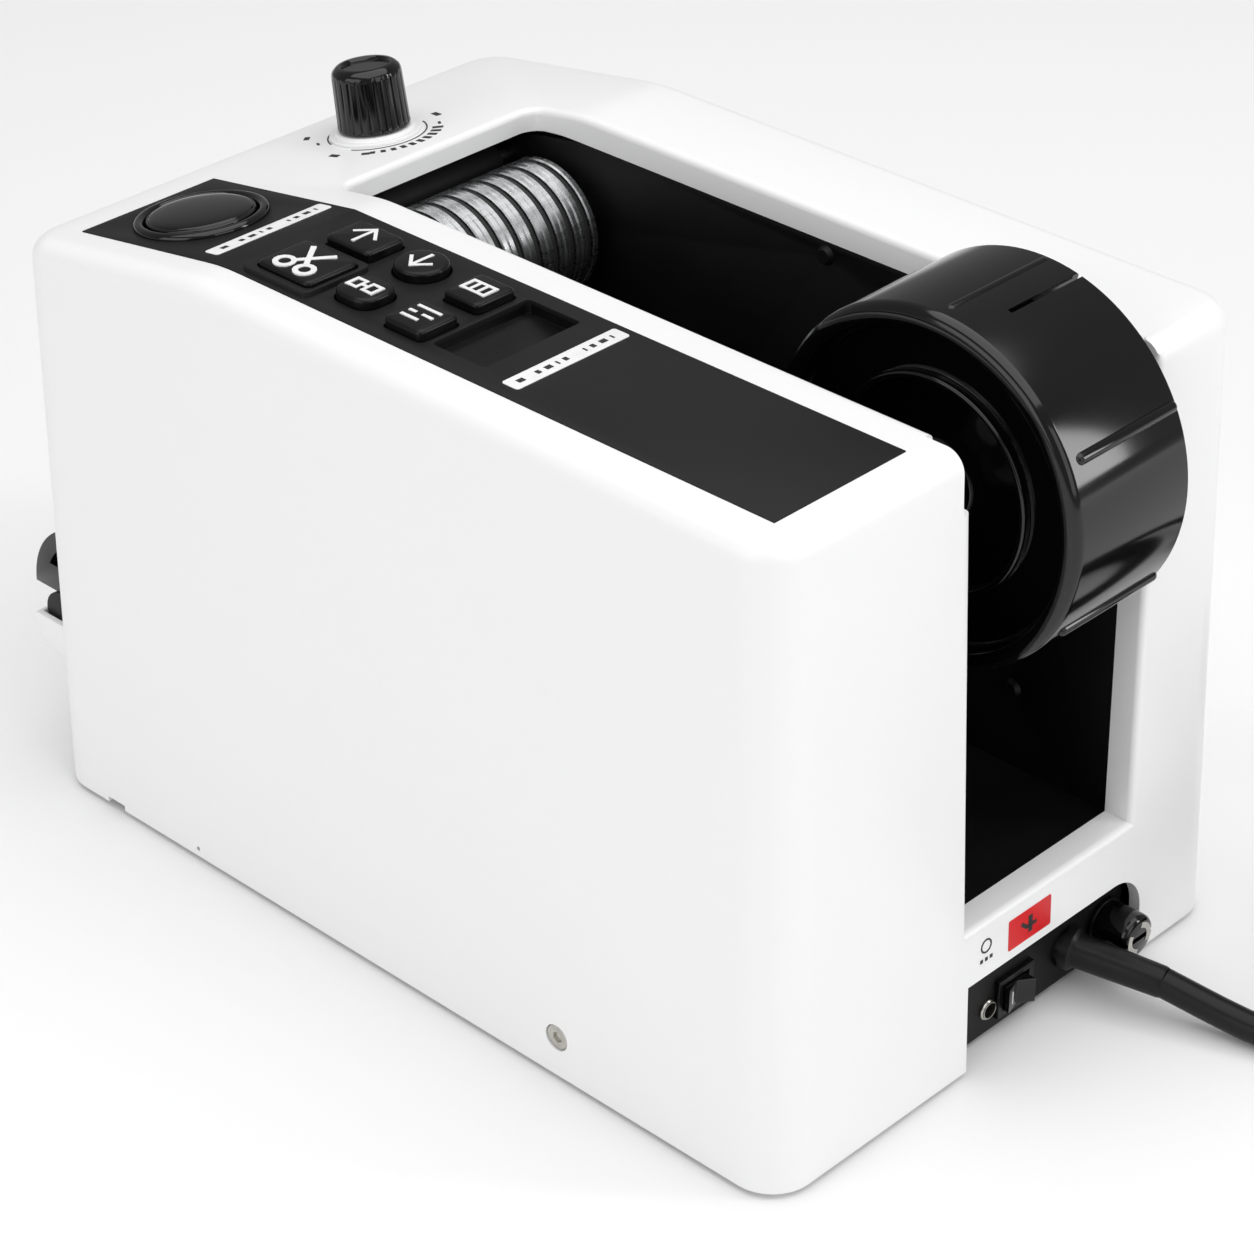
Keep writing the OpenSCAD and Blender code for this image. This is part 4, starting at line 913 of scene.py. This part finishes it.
# ---- Start button ----
# A large domed push button in gloss black, inside a raised ring whose top edge is fully rounded.
start_place = slope_place @ Matrix.Translation((PANEL_X + 0.4, -27.2, 0))
ring_outline = ([(11.8, -4.5), (12.5, -6), (12.5, 0.15), (14.2, 0.15)]
                + arc((13.05, 0.3), 1.15, 0, 165, 12) + [(11.8, 0.3)])
ring_mesh = bmesh.new()
spin(ring_mesh, ring_outline, start_place, 96)
add_piece("start_ring_cap", ring_mesh, "root", gloss_black, ["start_ring"])
dome = [(0, -5.6), (3, -5.6), (3, -2.8), (11.5, -2.8)] + arc((11, 0.9), 0.5, 0, 90, 4)
cap_turns = [math.radians(90 * k / 12) for k in range(12)]
dome += [(10.9 * math.cos(turn), 1.35 + 1.3 * math.sin(turn)) for turn in cap_turns] + [(0, 2.65)]
dome_mesh = bmesh.new()
spin(dome_mesh, dome, start_place, 96)
add_piece("start_dome", dome_mesh, "start", gloss_black, ["start_button"])


# ---- Length knob and its dial ----
# A fluted knob in gloss black with a dished cap, on a white collar, over a printed dial of arcs and
# blocks that show how the tape length grows.
knob_place = slope_place @ Matrix.Translation((CH_MID, DIAL_V, 0))


def flutes(turn, radius, height):
    """Narrow grooves all round the knob's side."""
    if not 2.4 < height < 13.6:
        return radius
    return radius - 0.22 * max(0.0, math.cos(24 * turn)) ** 4


knob_mesh = bmesh.new()
knob = [(0, -3.6), (2, -3.6), (2, 1.8), (7.5, 1.8), (7.9, 2.1), (7.9, 2.6), (7.85, 3), (7.6, 13.2),
        (7.55, 14.0), (7.3, 14.7), (6.6, 15.35), (6.1, 15.65), (5.4, 15.68), (5.1, 15.4), (4.9, 15.0),
        (0, 14.95)]
spin(knob_mesh, knob, knob_place, 192, flutes)
add_piece("length_knob_cap", knob_mesh, "knob", gloss_black, ["length_knob"])
dial = bmesh.new()
DIAL_INK = 0.1


def dial_block(radius, turn, long, wide):
    """A printed block across a radius of the dial, at an angle."""
    a = math.radians(turn)
    middle = Vector((radius * math.cos(a), radius * math.sin(a)))
    tangent = Vector((-math.sin(a), math.cos(a))) * long / 2
    stroke(dial, [middle - tangent, middle + tangent], wide, 0, DIAL_INK, knob_place)


for step in range(10):
    dial_block(13.6, 45 + 9.6 * step, 1.1, 1.3 + 0.12 * step)
for radius, turn, long, wide in (
        (15.1, 12, 2.2, 1.3), (13.9, 39, 1.8, 1.2), (15.6, 169, 2.4, 1.3), (14, 144, 1.6, 0.6),
        (12.7, -31, 1.4, 0.6), (12.7, 205, 1.4, 0.6), (15.0, 232, 1.9, 1.2), (15.2, -52, 1.9, 1.2)):
    dial_block(radius, turn, long, wide)
stroke(dial, arc((0, 0), 11.2, 20, 160, 20), 0.3, 0, DIAL_INK, knob_place)
stroke(dial, arc((0, 0), 10.4, -70, -20, 8), 0.3, 0, DIAL_INK, knob_place)
add_piece("dial_print", dial, "root", print_black)
soft_copy("knob_collar_cap", "knob_collar", "root", white_abs, 0.25)


# ---- Rear connectors ----
# The powder-coated base plate turns up behind the shell's rear opening. It carries a nut-ringed foot
# pedal jack, a snap-in rocker switch, and a fuse holder with a slotted cap and two bright contacts.

# Powder-coated steel: black and dull, with the faint unevenness of baked powder.
powder_black = surface("powder_coated_steel_black", "#0d0d0d", "#0a0a0a", 0.45, 0.6, 18, 0.7, 0.006,
                       Specular_IOR_Level=0.25)
# Nickel plate on steel: a bright, slightly yellow metal with clear highlights.
nickel = surface("nickel_plated_steel", "#c9c7c0", "#a8a6a0", 0.18, 0.3, 3, 0.4, 0.003, Metallic=1.0)
jack_x, jack_z = 0.5, LOW_Z + 6.3
jack_place = along((jack_x, UPSTAND, jack_z), (jack_x, UPSTAND + 1, jack_z))
jack_outline = [(1.75, 1.0), (1.75, -13), (2.8, -13), (2.9, -12.8), (2.9, -2.1), (2.15, -2.1),
                (2.15, 0.05), (2.35, 0.05), (2.35, 0.5), (2.2, 0.7), (2.0, 0.8), (1.95, 1.0)]
jack_mesh = bmesh.new()
spin(jack_mesh, jack_outline, jack_place, 48)
add_piece("pedal_jack_socket", jack_mesh, "root", nickel, ["pedal_jack"])
soft_copy("switch_bezel_frame", "switch_bezel", "root", key_black, 0.3)
soft_copy("rocker_cap", "power_rocker", "rocker", gloss_black, 0.35)

# A white line is printed across the rocker's face.
rocker_place = (Matrix.Translation((-7.5, UPSTAND - 1.8, LOW_Z + 7.3))
                @ Matrix.Rotation(math.radians(-9), 4, "Z") @ Matrix.Translation((1.0, 4.1, 0)))
face_turn = Matrix.Rotation(math.atan2(1.8, 3.6), 4, "Z") @ Matrix.Rotation(math.radians(-90), 4, "X")
rocker_line = bmesh.new()
stroke(rocker_line, [(1.1, -1.5), (1.1, 1.5)], 0.4, -0.2, 0.1, rocker_place @ face_turn)
add_piece("rocker_line", rocker_line, "rocker", print_white)

fuse_x, fuse_z = CH_FAR + 1.4, LOW_Z + 8.6
fuse_place = along((fuse_x, UPSTAND, fuse_z), (fuse_x, UPSTAND + 1, fuse_z))
fuse_outline = [(0, -12), (2.74, -12), (2.74, 1.5), (4.8, 1.5), (5.0, 1.8), (5.0, 2.6), (5.0, 8.0),
                (4.9, 8.8), (4.5, 9.35), (3.9, 9.6), (0, 9.6)]
cap_mesh = bmesh.new()
spin(cap_mesh, fuse_outline, fuse_place, 96)
slot = box_solid((fuse_x - 7, UPSTAND + 8.6, fuse_z - 0.6), (fuse_x + 7, UPSTAND + 12, fuse_z + 0.6))
cap_body = combine(solid(cap_mesh), slot, "DIFFERENCE")
cap_mesh = bmesh.new()
cap_mesh.from_mesh(cap_body.data)
bpy.data.objects.remove(cap_body)
add_piece("fuse_cap_barrel", cap_mesh, "fuse", gloss_black, ["fuse_cap"])
end_mesh = bmesh.new()
for turn in (25, 205):
    stroke(end_mesh, arc((0, 0), 3.1, turn - 58, turn + 58, 12), 1.3, 9.3, 9.7, fuse_place)
add_piece("fuse_cap_contacts", end_mesh, "fuse", nickel)
soft_copy("fuse_holder_collar", "fuse_holder", "root", key_black, 0.2)

# A red sticker with a plain dark sign stands over the connectors, beside a small printed ring.
# Printed vinyl: an even saturated red with a soft gloss.
label_red = surface("printed_vinyl_red", "#d8121a", "#cf0f17", 0.3, 0.4, 8, 0.4, 0.002)


def strip_face(z):
    """How far back the leaning rear face stands at a height."""
    return REAR - REAR_DRAFT * (z - LOW_Z) / (TOP_Z - LOW_Z)


lean = math.atan(REAR_DRAFT / (TOP_Z - LOW_Z))
strip_z = STRIP_LOW + 6.4
strip_place = (Matrix.Translation((0, strip_face(strip_z), strip_z))
               @ Matrix.Rotation(math.radians(90) + lean, 4, "X") @ Matrix.Scale(-1, 4, (0, 0, 1)))
sticker = bmesh.new()
pad_loft(sticker, -6.3, -0.6, 13.4, 7.2, 0.4, 0.0, 0.12, 0.04, strip_place)
bmesh.ops.recalc_face_normals(sticker, faces=sticker.faces)
add_piece("red_sticker", sticker, "root", label_red)
mark = bmesh.new()
stroke(mark, [(-8.4, -1.0), (-5.2, -1.0), (-3.6, 0.4)], 0.9, 0.02, 0.16, strip_place)
stroke(mark, [(-6.4, -2.6), (-6.4, 1.4)], 1.3, 0.02, 0.16, strip_place)
stroke(mark, arc((7.4, 1.0), 1.5, 0, 360, 14), 0.35, -0.05, 0.08, strip_place)
for k in range(3):
    stroke(mark, [(5.4 + 1.5 * k, -2.2), (6.2 + 1.5 * k, -2.2)], 0.8, -0.05, 0.08, strip_place)
bmesh.ops.recalc_face_normals(mark, faces=mark.faces)
add_piece("sticker_marks", mark, "root", print_black)


# ---- Front: tray, guard, hinges and delivery roller ----
# The finger guard is a smoky black moulding on two hinge lugs, over a white tray that carries the
# delivery roller. Their edges are rounded as moulded edges are.
soft_copy("guard_moulding", "finger_guard", "guard", gloss_black, 0.5)
soft_copy("guard_lugs", "guard_hinges", "root", key_black, 0.3)
soft_copy("tray_moulding", "front_tray", "root", white_abs, 0.4)
soft_copy("delivery_roller_turned", "delivery_roller", "delivery", groove_rubber, 0.3)
soft_copy("release_tab_cap", "release_tab", "root", key_black, 0.4)


# ---- Frame plates, cutter and drive ----
# Folded steel coated in black powder, ground tool steel blades, turned shafts, moulded nylon and cut
# brass gears, and bought-in motors, boards and a transformer.

# Ground and turned steel: grey metal with fine streaks across the work.
ground_steel = surface("ground_tool_steel", "#c3c5c7", "#9fa2a5", 0.2, 0.36, 2, 0.3, 0.004,
                       (0.1, 1, 1), Metallic=1.0)
turned_steel = surface("turned_bright_steel", "#bcbec0", "#9a9c9e", 0.2, 0.34, 3, 0.3, 0.004,
                       (0.2, 1, 1), Metallic=1.0)
# Cut brass: warm yellow metal, a little dulled by handling.
cut_brass = surface("cut_brass", "#c9a557", "#ad8a42", 0.24, 0.36, 3, 0.4, 0.004, Metallic=1.0)
# Natural nylon: a waxy cream without a clear highlight.
gear_nylon = surface("moulded_nylon_natural", "#e6e1d2", "#dad4c2", 0.38, 0.5, 10, 0.8, 0.005)
# Solder mask: glossy deep green.
board_green = surface("solder_masked_board_green", "#1d5c38", "#174c2e", 0.25, 0.4, 6, 0.6, 0.004)
# Varnished laminations: grey iron with fine lines between its sheets.
core_iron = surface("varnished_laminations_grey", "#5c6064", "#484c50", 0.4, 0.6, 5, 0.5, 0.02,
                    (1, 1, 14), Metallic=0.6)
# Enamelled copper under tape: brown, with fine lines along the turns.
copper_coil = surface("taped_copper_winding", "#a8682f", "#8a5222", 0.4, 0.55, 4, 0.5, 0.02,
                      (14, 1, 1))
# Moulded rubber: dull near black that hides its edges.
foot_rubber = surface("moulded_rubber_black", "#181818", "#101010", 0.6, 0.75, 6, 0.8, 0.01)
# Smoked acrylic filter: dark and clear-surfaced, with a sharp reflection.
dark_smoke = surface("dark_display_filter", "#1a1a1a", "#141414", 0.12, 0.2, 14, 0.6, 0.002)
soft_copy("far_plate_folded", "far_frame_plate", "root", powder_black, 0.2, segments=2)
soft_copy("near_plate_folded", "near_frame_plate", "root", powder_black, 0.2, segments=2)
FINISHES = (
    (powder_black, ("base_plate", "channel_floor", "tape_guide", "cutter_bar", "frame_screws")),
    (foot_rubber, ("feet", "press_roller")),
    (ground_steel, ("fixed_blade", "moving_blade")),
    (turned_steel, ("roller_shaft", "press_shaft", "reel_axle", "axle_nuts", "potentiometer",
                    "feed_motor", "cutter_motor")),
    (nickel, ("side_screws", "plug_pins")),
    (cut_brass, ("motor_pinion", "cutter_pinion", "roller_bushes")),
    (gear_nylon, ("feed_gear",)),
    (board_green, ("control_board", "power_board")),
    (dark_smoke, ("display_module",)),
    (core_iron, ("transformer_core",)),
    (copper_coil, ("transformer_coil",)),
)
for finish, names in FINISHES:
    for name in names:
        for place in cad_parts[name].material_slots:
            place.material = finish
